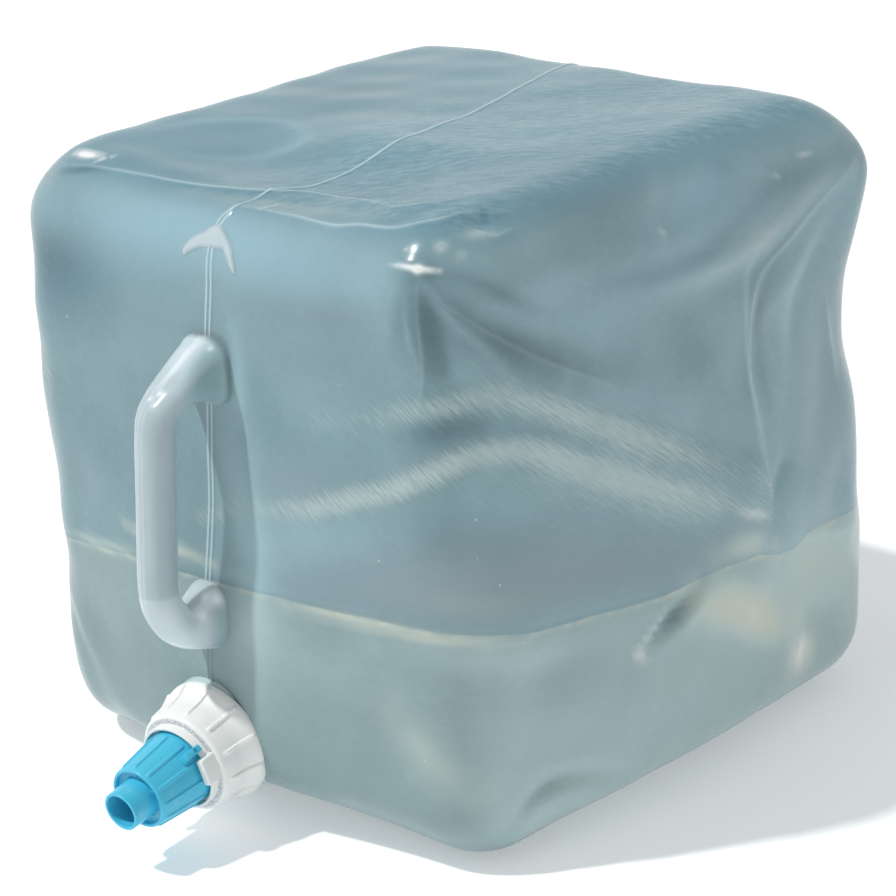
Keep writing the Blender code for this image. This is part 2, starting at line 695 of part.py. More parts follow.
def nozzle_o_ring(axis):
    outline = []
    centre = INNER_TUBE_RADIUS - RING_GROOVE_DEPTH + PART_GAP / 2 + RING_SECTION
    for step in range(RING_SECTION_STEPS):
        angle = -2 * math.pi * step / RING_SECTION_STEPS
        outline.append((centre + RING_SECTION * math.cos(angle),
                        RING_PLACE + RING_SECTION * math.sin(angle)))
    turned("nozzle_o_ring", outline, seal_finish, axis)


# The carrier

def bag_core():
    # The whole bag with a gap round it, which trims what is fixed to the front panel.
    def build(bm):
        cube_skin(bm)
        to_bag_surface(bm, PART_GAP)

    return mesh_object("bag_core", build)


def build_carrier():
    core = bag_core()
    handle_bore = carry_handle(core)
    axis = closure_frame()
    mouth_outline = ring_outline(0, BORE_RADIUS, -SHOULDER_LENGTH, NECK_LIP)
    mouth = turned("neck_mouth", mouth_outline, parent=axis)
    front = end_panel("front_panel", -1)
    boolean(front, handle_bore, 'DIFFERENCE')
    boolean(front, mouth, 'DIFFERENCE')
    end_panel("back_panel", 1)
    fold_panel("base_panel", 2, -1)
    fold_panel("top_panel", 2, 1)
    fold_panel("left_panel", 0, -1)
    fold_panel("right_panel", 0, 1)
    pinch_off_tab()
    threaded_neck(axis, core)
    screw_cap(axis)
    cap_gasket(axis)
    valve_stem(axis)
    seat_washer(axis)
    spigot_nozzle(axis)
    nozzle_o_ring(axis)


clear_scene()
parts = collection("water_carrier")
tools = collection("cutters")
film_finish = material("film", (0.46, 0.58, 0.62), 0.25, 0.55)
handle_finish = material("thick_film", (0.72, 0.78, 0.80), 0.30, 0.80)
cap_finish = material("white_cap", (0.88, 0.89, 0.88), 0.40)
nozzle_finish = material("blue_nozzle", (0.02, 0.42, 0.68), 0.30)
seal_finish = material("seal", (0.10, 0.10, 0.11), 0.80)
build_carrier()
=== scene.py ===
# The looks of the water carrier: a soft film bag a third full of water, its carry handle,
# the white screw cap and the blue twist nozzle, in daylight from the front left.

import json
import math
from types import SimpleNamespace

import bmesh
import bpy
import numpy as np
from mathutils import Matrix, Vector
from mathutils.kdtree import KDTree


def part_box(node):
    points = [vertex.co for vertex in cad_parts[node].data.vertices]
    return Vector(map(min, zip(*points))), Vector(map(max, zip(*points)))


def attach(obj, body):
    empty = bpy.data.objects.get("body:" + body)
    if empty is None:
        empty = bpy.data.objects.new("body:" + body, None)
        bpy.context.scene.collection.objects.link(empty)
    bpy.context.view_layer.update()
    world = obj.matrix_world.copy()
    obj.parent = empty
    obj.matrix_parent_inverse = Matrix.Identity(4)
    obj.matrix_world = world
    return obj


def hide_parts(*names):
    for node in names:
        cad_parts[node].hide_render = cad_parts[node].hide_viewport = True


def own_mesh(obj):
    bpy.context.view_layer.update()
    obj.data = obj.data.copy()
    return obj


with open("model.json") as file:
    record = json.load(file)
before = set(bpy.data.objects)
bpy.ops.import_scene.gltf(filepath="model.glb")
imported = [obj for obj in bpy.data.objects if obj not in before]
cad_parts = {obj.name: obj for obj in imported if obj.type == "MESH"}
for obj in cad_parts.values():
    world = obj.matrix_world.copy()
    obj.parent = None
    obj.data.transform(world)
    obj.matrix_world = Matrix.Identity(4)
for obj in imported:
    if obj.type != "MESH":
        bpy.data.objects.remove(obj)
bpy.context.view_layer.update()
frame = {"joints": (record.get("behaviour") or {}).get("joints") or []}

bagSize = {
    "width": 0.285,  # flat sides, before the water pushes them out
    "depth": 0.282,
    "height": 0.285,
    "edgeRadius": 0.036,
    "swell": 0.018,
    "swellLow": 0.25,  # share of the height where a side stands out most
    "swellSharp": 2.6,
    "dip": 0.009,  # gutter behind the front edge of the top
    "dipSpan": 0.060,
    "dipBehindEdge": 0.012,
    "neckHole": 0.0207,
    "cells": 92,  # along each edge of the film's mesh, and of the water's
    "coarseCells": 60,
    "splitNear": (0.008, 0.0042),  # cells this near to a line or the neck are split, twice over
    "waves": ((0.110, 0.0006), (0.070, 0.0004), (0.046, 0.0003), (0.030, 0.0002)),  # length, height
}
bagHalf = np.array([bagSize["width"], bagSize["depth"], bagSize["height"]]) / 2
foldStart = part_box("left_panel")[0].y  # the sides fold between these two places
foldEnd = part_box("left_panel")[1].y
joints = {joint["name"]: joint for joint in frame["joints"]}
closureAxis = Vector(joints["cap_turn"]["axis"]).normalized()
closureAt = Vector(joints["cap_turn"]["pos_m"])


# small sums used everywhere

farAway = 1e3


def easeBetween(value, low, high):
    share = np.clip((value - low) / (high - low), 0, 1)
    return share * share * (3 - 2 * share)


def softCurve(rows, steps):
    # a soft curve through rows of numbers
    ends = [rows[0] * 2 - rows[1], *rows, rows[-1] * 2 - rows[-2]]
    curve = []
    for a, b, c, d in zip(ends, ends[1:], ends[2:], ends[3:]):
        for t in np.arange(steps) / steps:
            curve.append(0.5 * (2 * b + (c - a) * t + (2 * a - 5 * b + 4 * c - d) * t * t
                                + (3 * b - a - 3 * c + d) * t ** 3))
    return curve + [rows[-1]]


def smoothPath(stops, steps=4):
    # the same in metres, through stops in millimetres
    stops = [np.array(stop, float) / 1000 for stop in stops]
    return softCurve(stops, steps) if len(stops) > 2 else stops


def nearPath(points, path, reach):
    # how far each point is from the path, and how far along the path that is
    gap = np.full(len(points), farAway)
    along = np.zeros(len(points))
    corners = np.array(path)
    inside = ((points > corners.min(0) - reach) & (points < corners.max(0) + reach)).all(axis=1)
    near = points[inside]
    if len(path) == 1:
        gap[inside] = np.linalg.norm(near - corners[0], axis=1)
        along[inside] = 0.5
        return gap, along
    lengths = np.linalg.norm(np.diff(corners, axis=0), axis=1)
    before = np.concatenate([[0], np.cumsum(lengths)])
    least = np.full(len(near), farAway)
    place = np.zeros(len(near))
    for index, (start, end) in enumerate(zip(corners, corners[1:])):
        run = end - start
        t = np.clip((near - start) @ run / max(run @ run, 1e-12), 0, 1)
        away = np.linalg.norm(near - start - t[:, None] * run, axis=1)
        closer = away < least
        least[closer] = away[closer]
        place[closer] = (before[index] + t[closer] * lengths[index]) / before[-1]
    gap[inside] = least
    along[inside] = place
    return gap, along


# form of the bag

def swellAt(across, height):
    low, sharp = bagSize["swellLow"], bagSize["swellSharp"]
    height = np.clip(height, 0, 1)
    rise = (height / low) ** (sharp * low)
    fall = ((1 - height) / (1 - low)) ** (sharp * (1 - low))
    return (1 - np.clip(across, -1, 1) ** 2) ** 2 * rise * fall


def fullBag(flat):
    # points on the skin of a plain box, moved to the smooth full bag, and their outward ways
    radius = bagSize["edgeRadius"]
    core = np.clip(flat, radius - bagHalf, bagHalf - radius)
    out = flat - core
    out /= np.linalg.norm(out, axis=1, keepdims=True)
    point = core + out * radius
    across = flat / bagHalf
    height = across[:, 2] / 2 + 0.5
    point[:, 0] += out[:, 0] * bagSize["swell"] * swellAt(across[:, 1], height)
    point[:, 1] += out[:, 1] * bagSize["swell"] * swellAt(across[:, 0], height)
    middle = radius + bagSize["dipBehindEdge"] - bagHalf[1]
    dip = (1 - np.clip(((flat[:, 1] - middle) / bagSize["dipSpan"]) ** 2, 0, 1)) ** 2
    dip *= (1 - np.clip(across[:, 0] ** 2, 0, 1)) ** 2
    point[:, 2] += bagHalf[2] - np.maximum(out[:, 2], 0) * bagSize["dip"] * dip
    return point, out


def boxSkin(cells):
    bm = bmesh.new()
    bmesh.ops.create_cube(bm, size=2)
    bmesh.ops.subdivide_edges(bm, edges=bm.edges, cuts=cells, use_grid_fill=True)
    for vert in bm.verts:
        vert.co = [share * half for share, half in zip(vert.co, bagHalf)]
    return bm


def flatPoints(bm):
    return np.array([vert.co for vert in bm.verts])


def skinFinder():
    # for each place near the bag, the nearest place on its smooth skin
    bm = boxSkin(bagSize["coarseCells"])
    points, outs = fullBag(flatPoints(bm))
    bm.free()
    tree = KDTree(len(points))
    for index, point in enumerate(points):
        tree.insert(point, index)
    tree.balance()

    def find(place):
        index = tree.find(place)[1]
        return place - (place - points[index]) @ outs[index] * outs[index]
    return find


toSkin = skinFinder()


def skinPath(stops):
    return [toSkin(place) for place in smoothPath(stops)]


filmFolds = []


def fold(width, rise, *stops, crest=1, line=0):
    # a crease: half width and rise in mm, stops in mm, crest 1 for a sharp one and 2 for a soft
    # one, and how strongly a painted highlight is laid along its crest
    filmFolds.append((width / 1000, rise / 1000, skinPath(stops), crest, line))


fold(3, 1.3, (-112, -124, 274), (-104, -125, 277), (-81, -124, 278), (-46, -120, 278),
     (-16, -114, 277), (3, -109, 277), (25, -102, 277), (50, -104, 278), (84, -112, 281),
     line=0.55)
fold(3, 1.4, (4, -127, 275), (21, -126, 275), (44, -127, 275), (66, -129, 275), (79, -127, 276),
     (99, -125, 277), (113, -116, 281), (116, -102, 282), (123, -93, 281), line=0.5)
fold(9, -2.2, (-60, -122, 277), (-10, -119, 276), (40, -116, 276), (90, -119, 279), crest=2)
fold(4, 1.2, (86, -112, 281), (100, -104, 283), (104, -88, 284), line=0.25)
fold(3.5, 1.4, (124, -109, 278), (131, -104, 275), (131, -92, 276), line=0.2)
fold(6, -2.0, (118, -110, 280), (127, -98, 279), crest=2)
fold(2.4, 1.8, (104, -136, 267), (113, -134, 267), (119, -132, 267), (127, -129, 268), line=0.7)
fold(4, 1.5, (119, -133, 266), (133, -127, 252), (143, -101, 228), (147, -48, 198), line=0.12)
fold(8, -2.6, (124, -131, 264), (136, -122, 246), (144, -92, 232), (146, -50, 214), crest=2)
fold(3, 1.5, (121, -134, 264), (123, -137, 246), (122, -139, 226), (118, -142, 208), line=0.12)
fold(5, -2.4, (125, -133, 262), (130, -132, 240), (130, -133, 220), crest=2)
fold(4, 1.0, (116, -135, 264), (110, -140, 244), (100, -143, 226), crest=2)
fold(3.5, 1.5, (133, 122, 263), (144, 74, 235), (146, 42, 219), (149, 32, 189), (153, 31, 153),
     (155, 37, 130), line=0.22)
fold(5, 1.5, (140, 101, 260), (144, 53, 240), (145, 16, 236), (144, -18, 238), (144, -50, 240),
     crest=2)
fold(8, -2.2, (137, 112, 254), (144, 66, 230), (146, 22, 226), (146, -20, 228), crest=2)
fold(7, -2.0, (138, 116, 256), (142, 100, 232), (146, 76, 206), (148, 64, 176), crest=2)
fold(4, 1.4, (144, 100, 198), (145, 104, 178), (145, 104, 158), line=0.12)
fold(4, -2.4, (155, 38, 124), (153, 46, 134), (151, 56, 143))
fold(3, 1.8, (150, 20, 150), (154, 30, 138), (155, 37, 128), line=0.2)
fold(4.5, -2.8, (159, -14, 102), (158, -30, 95), (156, -49, 85), crest=2)
fold(3, 1.4, (159, -6, 101), (158, -30, 88), (156, -52, 81))
fold(4.5, -3.2, (138, -117, 20), (142, -111, 33), (146, -98, 38), (149, -76, 34), (149, -60, 28),
     crest=2)
fold(6, 1.8, (150, 40, 104), (150, 72, 94), (146, 100, 88), (142, 114, 88), crest=2)
fold(6, -1.6, (-138, -118, 128), (-140, -108, 106), (-141, -112, 78), crest=2)
fold(7, -2.0, (-128, -132, 70), (-112, -143, 52), (-98, -146, 34), crest=2)
fold(8, -2.6, (-139, 60, 262), (-143, 20, 240), (-146, -20, 214), crest=2)
fold(7, -2.4, (-136, -112, 262), (-142, -84, 238), (-146, -40, 206), crest=2)
fold(4, 1.6, (-140, -60, 262), (-145, -50, 220), (-148, -58, 180), line=0.25)
fold(8, -2.6, (-80, 138, 262), (-40, 143, 240), (10, 147, 218), crest=2)
fold(7, -2.4, (110, 136, 258), (80, 141, 236), (40, 146, 206), crest=2)
fold(4, 1.6, (-112, 134, 264), (-96, 141, 234), (-84, 144, 196), line=0.25)
fold(6, -2.4, (-104, 141, 60), (-120, 138, 40), (-130, 132, 22), crest=2)

filmDents = [  # where the whole film is pushed: place, reach and push in mm
    ((134, -134, 256), 26, (-3, -3, -1)),
    ((142, 122, 190), 42, (-6, -3, 0)),
    ((140, 124, 140), 26, (2, 1, 0)),
    ((-140, -120, 100), 34, (1, 0, 0)),
    ((138, 132, 250), 36, (6, 5, 0)),
    ((-118, -126, 278), 20, (3, 1, -2)),
    ((0, -156, 40), 40, (0, -2, 0)),
    ((-62, -52, 285), 40, (0, 0, -3)),
    ((0, -153, 162), 34, (0, 2.6, 0)),
    ((80, -148, 176), 46, (0, 1.5, 0)),
    ((-140, 124, 200), 44, (5, -3, 0)),
]
seamLine = {
    "round": [  # up the front, over the top and down the back, in mm
        (0, -128, 4), (0, -143, 14), (0, -156, 40), (0, -159, 72), (0, -153, 120), (0, -148, 176),
        (0, -143, 237), (1, -139, 254), (2.5, -134, 267), (5, -129, 274), (5, -119, 277),
        (5.5, -110, 277), (9, -103, 277), (15, -96, 276.5), (17.5, -86, 277), (18.4, -70, 280),
        (17.4, -42, 284), (11, -3, 285), (0, 43, 285), (-12, 87, 285), (-19, 112, 283),
        (-23, 132, 270), (-22, 141, 240), (-14, 148, 170), (-6, 156, 90), (-2, 154, 40),
        (0, 140, 12), (0, 126, 4)],
    "under": [(0, 126, 3), (0, 105, 0), (0, 0, 0), (0, -105, 0), (0, -128, 3)],
    "halfGap": 0.00125,
    "width": 0.0007,
    "rise": 0.0005,
    "reach": 0.02,
    "paint": 0.72,
    "belowHandle": 0.100,  # under this height on the front the line is dark and faint
    "darker": 1.1,
}
seamPaths = [skinPath(seamLine[run]) for run in ("round", "under")]
waterLine = [  # where the water meets the film, round the bag in mm; the film bends it out of level
    (-144, -118, 98), (-117, -140, 102), (-57, -152, 110), (0, -156, 114), (39, -154, 115),
    (86, -147, 115), (114, -141, 114), (134, -127, 113), (149, -89, 108), (156, -40, 105),
    (159, 2, 105.5), (158, 26, 102.5), (156, 40, 98), (155, 54, 95.5), (153, 66, 99),
    (144, 110, 94), (120, 142, 93), (40, 152, 92), (-60, 150, 94), (-124, 138, 95),
    (-152, 40, 98), (-154, -40, 99)]


def waterHeight(points):
    # the height of the water's edge on the film, in the direction of each point
    stops = np.array(waterLine, float) / 1000
    turns = np.arctan2(stops[:, 1], stops[:, 0])
    order = np.argsort(turns)
    turns, heights = turns[order], stops[order, 2]
    turns = np.concatenate([turns - 2 * math.pi, turns, turns + 2 * math.pi])
    return np.interp(np.arctan2(points[:, 1], points[:, 0]), turns, np.tile(heights, 3))


def filmWobble(points):
    # slow unevenness of the film, the same at every run
    chance = np.random.default_rng(11)
    shift = np.zeros(len(points))
    for length, height in bagSize["waves"]:
        for _ in range(5):
            way = chance.normal(size=3)
            way *= 2 * math.pi / length / np.linalg.norm(way)
            shift += height * np.sin(points @ way + chance.uniform(0, 2 * math.pi)) / 2
    return shift


def bagSurface(flat, fine=True):
    # the finished surface of the film, with its creases, dents and parting line
    base, out = fullBag(flat)
    lift = filmWobble(base) * easeBetween(base[:, 2], 0.004, 0.030)
    for width, rise, path, crest, _ in filmFolds:
        gap, along = nearPath(base, path, 5 * width)
        fade = np.sin(math.pi * np.clip(along, 0.03, 0.97)) ** 0.6
        lift += rise * fade * np.exp(-(gap / width) ** crest)
    if fine:
        gap = seamGap(base)
        lift += seamLine["rise"] * np.exp(-((gap - seamLine["halfGap"]) / seamLine["width"]) ** 2)
    point = base + out * lift[:, None]
    for place, reach, push in filmDents:
        gap = np.linalg.norm(base - np.array(place) / 1000, axis=1)
        point += np.exp(-(gap * 1000 / reach) ** 2)[:, None] * np.array(push) / 1000
    point[:, 2] = np.maximum(point[:, 2], 0)
    return point, out


def seamGap(points):
    # distance to the parting line; on top and at the back its two ridges run close together
    gaps = [nearPath(points, path, seamLine["reach"])[0] for path in seamPaths]
    front = easeBetween(-points[:, 1], 0.128, 0.134)
    return np.minimum(*gaps) + (1 - front) * (seamLine["halfGap"] - 0.0002)


def refineFilm(bm, reach):
    # splits the cells that lie near the parting line, the painted creases and the neck
    points, _ = fullBag(flatPoints(bm))
    lines = seamPaths + [path for _, _, path, _, line in filmFolds if line]
    gap = np.min([nearPath(points, line, reach * 2)[0] for line in lines], axis=0)
    near = np.minimum(gap, np.abs(neckGap(points))) < reach
    bm.verts.ensure_lookup_table()
    edges = [edge for edge in bm.edges if near[edge.verts[0].index] and near[edge.verts[1].index]]
    bmesh.ops.subdivide_edges(bm, edges=edges, cuts=1, use_grid_fill=True)


def neckGap(points):
    # distance to the wall of the neck, negative inside its bore
    local = points - np.array(closureAt)
    axis = np.array(closureAxis)
    away = np.linalg.norm(local - np.outer(local @ axis, axis), axis=1)
    return np.where(points[:, 1] < foldStart, away - bagSize["neckHole"], farAway)


def readable(bm):
    bm.verts.ensure_lookup_table()
    bm.verts.index_update()


def cutAtFolds(bm):
    for place in (foldStart, foldEnd):
        geometry = list(bm.verts) + list(bm.edges) + list(bm.faces)
        bmesh.ops.bisect_plane(bm, geom=geometry, plane_co=(0, place, 0), plane_no=(0, 1, 0))
    places = bm.faces.layers.float.new("placeY")
    for face in bm.faces:
        face[places] = face.calc_center_median().y


def pieceFrom(bm, name, low, high, finish):
    # the stretch of the mesh whose faces lie between low and high, shaded as part of the whole
    piece = bm.copy()
    zone = piece.faces.layers.float["placeY"]
    gone = [face for face in piece.faces if not low < face[zone] < high]
    bmesh.ops.delete(piece, geom=gone, context="FACES")
    shading = piece.verts.layers.float_vector["restNormal"]
    normals = [vert[shading].copy() for vert in piece.verts]
    mesh = bpy.data.meshes.new(name)
    piece.to_mesh(mesh)
    piece.free()
    mesh.shade_smooth()
    mesh.normals_split_custom_set_from_vertices(normals)
    for layer in ("restNormal", "placeY"):
        mesh.attributes.remove(mesh.attributes[layer])
    return addPiece(name, mesh, finish)


def addPiece(name, mesh, finish):
    made = bpy.data.objects.new(name, mesh)
    bpy.context.scene.collection.objects.link(made)
    made.data.materials.append(finish.material)
    return made


def settle(bm, name, finish, body, node, sharp=180):
    # the mesh becomes a piece that rides on its body
    bmesh.ops.recalc_face_normals(bm, faces=bm.faces)
    mesh = bpy.data.meshes.new(name)
    bm.to_mesh(mesh)
    bm.free()
    mesh.shade_smooth()
    if sharp < 180:
        mesh.set_sharp_from_angle(angle=math.radians(sharp))
    made = addPiece(name, mesh, finish)
    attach(made, body)
    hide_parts(node)


def threePieces(bm, names, finish):
    # front, folding middle and back of a mesh that reaches all the way round
    normals = bm.verts.layers.float_vector.new("restNormal")
    bm.normal_update()
    for vert in bm.verts:
        vert[normals] = vert.normal
    cuts = (-1, foldStart, foldEnd, 1)
    pieces = [pieceFrom(bm, name, low, high, finish)
              for name, low, high in zip(names, cuts, cuts[1:])]
    bm.free()
    return pieces


def rideAll(front, middle, back):
    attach(front, "bag_front")
    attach(middle, "bag_front")
    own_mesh(middle)
    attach(back, "bag_back")


# shader sums and finishes

class Wire:
    # a node's output that works in a plain sum
    def __init__(self, finish, socket):
        self.finish = finish
        self.socket = socket

    def sum(self, operation, first, second=0.0):
        return self.finish.add("ShaderNodeMath", {"operation": operation}, {0: first, 1: second})

    def __add__(self, other):
        return self.sum("ADD", self, other)

    def __sub__(self, other):
        return self.sum("SUBTRACT", self, other)

    def __rsub__(self, other):
        return self.sum("SUBTRACT", other, self)

    def __mul__(self, other):
        return self.sum("MULTIPLY", self, other)

    def __truediv__(self, other):
        return self.sum("DIVIDE", self, other)

    __radd__ = __add__
    __rmul__ = __mul__

    def size(self):
        return self.sum("ABSOLUTE", self)

    def between(self, low, high):
        return self.finish.add("ShaderNodeMapRange", {"interpolation_type": "SMOOTHSTEP"},
                               {0: self, 1: low, 2: high})


class Finish:
    # one material, with its constant values set on the shader's own sockets
    def __init__(self, name, constants):
        self.material = bpy.data.materials.new(name)
        self.material.use_nodes = True
        self.tree = self.material.node_tree
        self.shader = self.tree.nodes["Principled BSDF"]
        self.feed(self.shader, constants)

    def feed(self, node, inputs):
        for key, value in inputs.items():
            socket = node.inputs[key]
            if isinstance(value, Wire):
                self.tree.links.new(value.socket, socket)
            elif socket.type == "RGBA":
                socket.default_value = (*value, 1)
            else:
                socket.default_value = value

    def add(self, kind, settings, inputs, output=0):
        node = self.tree.nodes.new(kind)
        for key, value in settings.items():
            setattr(node, key, value)
        self.feed(node, inputs)
        return Wire(self, node.outputs[output])

    def place(self):
        return self.add("ShaderNodeTexCoord", {}, {}, "Object")

    def axis(self, letter):
        return self.add("ShaderNodeSeparateXYZ", {}, {0: self.place()}, letter)

    def attribute(self, name):
        return self.add("ShaderNodeAttribute", {"attribute_name": name}, {}, "Fac")

    def noise(self, scale, detail=3.0, longer=(1, 1, 1), turn=(0, 0, 0)):
        where = self.add("ShaderNodeMapping", {"vector_type": "TEXTURE"},
                         {"Vector": self.place(), "Rotation": turn, "Scale": longer})
        return self.add("ShaderNodeTexNoise", {},
                        {"Vector": where, "Scale": scale, "Detail": detail})

    def strokes(self, scale, longer, turn):
        # thin strokes on the upright sides, at a slant, that run on round the corners
        level, up = self.axis("X") + self.axis("Y"), self.axis("Z")
        along = (level * math.cos(turn) + up * math.sin(turn)) / longer
        across = up * math.cos(turn) - level * math.sin(turn)
        where = self.add("ShaderNodeCombineXYZ", {}, {0: along, 1: across})
        return self.add("ShaderNodeTexNoise", {}, {"Vector": where, "Scale": scale, "Detail": 2.0})

    def spots(self, scale):
        return self.add("ShaderNodeTexVoronoi", {}, {"Vector": self.place(), "Scale": scale})

    def mix(self, first, second, share):
        return self.add("ShaderNodeMix", {"data_type": "RGBA"}, {0: share, 6: first, 7: second}, 2)

    def bump(self, height, depth, strength=1.0):
        return self.add("ShaderNodeBump", {}, {"Height": height, "Distance": depth,
                                               "Strength": strength})


filmColors = {
    "deep": (0.045, 0.100, 0.120),
    "pale": (0.42, 0.61, 0.66),
    "wetDeep": (0.08, 0.15, 0.17),
    "wetPale": (0.50, 0.64, 0.64),
    "line": (0.62, 0.76, 0.80),  # painted highlights on the folds, and the parting line
    # painted warm light: caustics under the water's edge, and warm highlights
    "warm": (0.78, 0.76, 0.58),
    "plum": (0.30, 0.36, 0.40),
    "sheen": (0.62, 0.71, 0.67),
    "blue": (0.28, 0.50, 0.62),
    "top": (0.09, 0.26, 0.34),  # painted sky reflection: the top is seen flat on, and reflects more of the sky
    "glint": (0.95, 0.97, 0.95),
}

filmLook = {
    "cloud": 0.22,  # how far slow and fine unevenness, strokes and ripples change the tone
    "blotch": 0.13,
    "hatch": 0.09,
    "ripple": 0.90,
    "hatchRise": 0.3,
    "hatchForm": (1050, 12, -0.66),  # scale, stretch and slant of the fine strokes
    "rippleRise": 2.0,
    "rippleForm": (330, 4, (2.6, 1, 1), (0, 0, 0.78)),
    "lineWidth": 0.0009,  # of the painted highlight on a crease
    "lineReach": 0.01,
    "waterUneven": 0.0016,
    "right": 0.32,  # painted light: the right side, which the lamp doesn't reach, is paler, in the water too, and the front darker
    "wetRight": 0.30,
    "front": 0.04,
}


def filmFinish():
    colors, look = filmColors, filmLook
    finish = Finish("clearFilm", {"Roughness": 0.2, "Alpha": 0.88, "IOR": 1.36,
                                  "Specular IOR Level": 0.3})
    mask = {name: finish.attribute(name) for name in
            ("tone", "streak", "warm", "line", "ripple", "plum", "blue", "glint", "top", "waterAt",
             "seamAt", "seamTone")}
    uneven = (finish.noise(40, 3) - 0.5) * look["waterUneven"]
    below = mask["waterAt"] + uneven - finish.axis("Z")
    wet = below.between(-0.0004, 0.0005)
    cloud = finish.noise(9, 4) - 0.5
    blotch = finish.noise(38, 4) - 0.5
    hatch = finish.strokes(*look["hatchForm"]) - 0.5
    grain = finish.noise(*look["rippleForm"]) - 0.5
    share = 0.5 + mask["tone"] * 0.5 + cloud * look["cloud"] + blotch * look["blotch"]
    share = share + hatch * look["hatch"] + mask["ripple"] * grain * look["ripple"]
    share = share + (below.between(-0.0030, -0.0004) - wet) * -0.08
    dry = finish.mix(colors["deep"], colors["pale"], share)
    dry = finish.mix(dry, colors["blue"], mask["blue"])
    dry = finish.mix(dry, colors["plum"], mask["plum"])
    # painted sky reflection on the top, broken up by its ripples
    dry = finish.mix(dry, colors["top"], mask["top"] * (0.55 - grain * mask["ripple"] * 0.8))
    # painted sheen along the streak bands
    fuzz = (mask["streak"] + hatch * 0.9).between(0.10, 1.0) * (0.50 + hatch * 0.6 + blotch * 0.3)
    dry = finish.mix(dry, colors["sheen"], fuzz)
    color = finish.mix(dry, finish.mix(colors["wetDeep"], colors["wetPale"], share), wet)
    # painted caustic light: a warm sparkling rim just under the water's edge
    rim = wet * (1 - below.between(0.0005, 0.0035)) * finish.noise(90, 3).between(0.35, 0.75)
    color = finish.mix(color, colors["warm"], mask["warm"] * (0.7 + blotch) + rim * 0.35)
    twin = 1 - (mask["seamAt"] - seamLine["halfGap"]).size().between(0.0002, 0.0007)
    # painted highlights on the creases, and the pale parting line
    color = finish.mix(color, colors["line"], mask["line"] + twin * mask["seamTone"])
    color = finish.mix(color, colors["deep"], twin * mask["seamTone"] * -0.8)
    # painted glints, with tiny scattered glint specks
    glintSpecks = 1 - finish.spots(62).between(0.020, 0.045)
    glintSpecks = glintSpecks * finish.noise(14, 1).between(0.50, 0.56)
    color = finish.mix(color, colors["glint"], mask["glint"] + glintSpecks * 0.35)
    height = grain * mask["ripple"] * look["rippleRise"] + finish.noise(130, 3) * 0.10
    height = height + hatch * mask["streak"] * look["hatchRise"]
    finish.feed(finish.shader, {"Base Color": color, "Normal": finish.bump(height, 0.0005, 0.4),
                                "Roughness": 0.20 + blotch * 0.12 + mask["streak"] * 0.08})
    return finish


filmTones = []


def stroke(reach, *stops, **paint):
    # a soft stroke on the film, with its reach and stops in mm and how much of each paint it holds
    filmTones.append((reach / 1000, skinPath(stops), paint))


# Much of this is painted light and shade: a pale blue glow along the upper front where light from
# above comes in, painted shade beside creases, glints, and warm caustics under the water's edge
stroke(17, (-108, -136, 258), (-60, -137, 262), (-10, -136, 263), (40, -136, 261), (96, -135, 259),
       tone=0.55, blue=0.42)
stroke(20, (-128, -132, 240), (-96, -140, 236), (-70, -142, 224), tone=-0.5)
stroke(20, (-120, -138, 62), (-84, -148, 60), (-50, -153, 64), tone=-0.22)
stroke(4, (-26, -120, 276), (34, -117, 277), (88, -119, 279), warm=0.16)
stroke(14, (-132, -128, 206), (-84, -142, 232), (-30, -143, 246), tone=-0.22, blue=0.2)
stroke(6, (20, -143, 240), (70, -143, 242), (112, -139, 250), tone=-0.16, plum=0.2)
stroke(6, (-120, -137, 216), (-117, -141, 180), (-116, -143, 146), streak=0.45)
stroke(22, (-92, -146, 176), (-60, -150, 130), tone=-0.12)
stroke(16, (34, -147, 200), (70, -147, 196), (96, -143, 192), tone=0.16)
stroke(5.5, (-6, -154, 140), (16, -152, 148), (54, -149, 156), (97, -144, 171), (119, -139, 182),
       (135, -126, 190), (144, -104, 187), (149, -65, 167), (154, -24, 147), (157, 20, 127),
       (157, 34, 118), streak=0.95, warm=0.06)
stroke(9, (140, -116, 178), (148, -84, 168), (151, -56, 156), (154, -24, 139), (157, 18, 121),
       streak=0.5, tone=0.15)
stroke(5, (150, -66, 186), (154, -20, 164), (156, 20, 142), tone=-0.28)
stroke(2.4, (156, 14, 126), (157, 34, 118), glint=0.45)
stroke(6, (60, -146, 194), (99, -142, 204), (120, -138, 210), (139, -120, 214), (144, -91, 202),
       (149, -50, 181), (154, -3, 155), (155, 36, 131), streak=0.75)
stroke(8, (143, -86, 195), (148, -50, 175), (152, -10, 154), streak=0.4)
stroke(4, (137, -124, 199), (144, -98, 194), (148, -70, 180), tone=-0.3)
# painted light where the handle's shadow falls on the film, and beside its upper end
stroke(13, (8, -150, 196), (20, -151, 156), (27, -155, 116), (27, -158, 66), tone=0.75)
stroke(5, (15, -146, 226), (19, -147, 208), (17, -148, 188), tone=0.6)
stroke(6, (108, -141, 196), (128, -133, 202), (141, -112, 203), tone=-0.5)
# painted shade in the creases that fan out from the near top corner, with painted highlights on the
# ridges between them
stroke(10, (121, -133, 264), (127, -131, 258), (133, -126, 250), (139, -115, 237), (143, -98, 224),
       (147, -74, 210), tone=-0.75)
stroke(3.5, (124, -130, 266), (134, -119, 262), (141, -104, 250), (145, -84, 238), tone=-0.45)
stroke(10, (121, -134, 263), (122, -136, 250), (126, -134, 232), (130, -132, 218), tone=-0.55)
stroke(2.6, (122, -133, 263), (131, -129, 250), (139, -118, 232), (142, -110, 219), tone=0.45)
stroke(1.4, (117, -137, 256), (117, -139, 244), (119, -139, 228), tone=0.35)
stroke(10, (146, -84, 214), (148, -46, 206), (149, -20, 196), tone=-0.2)
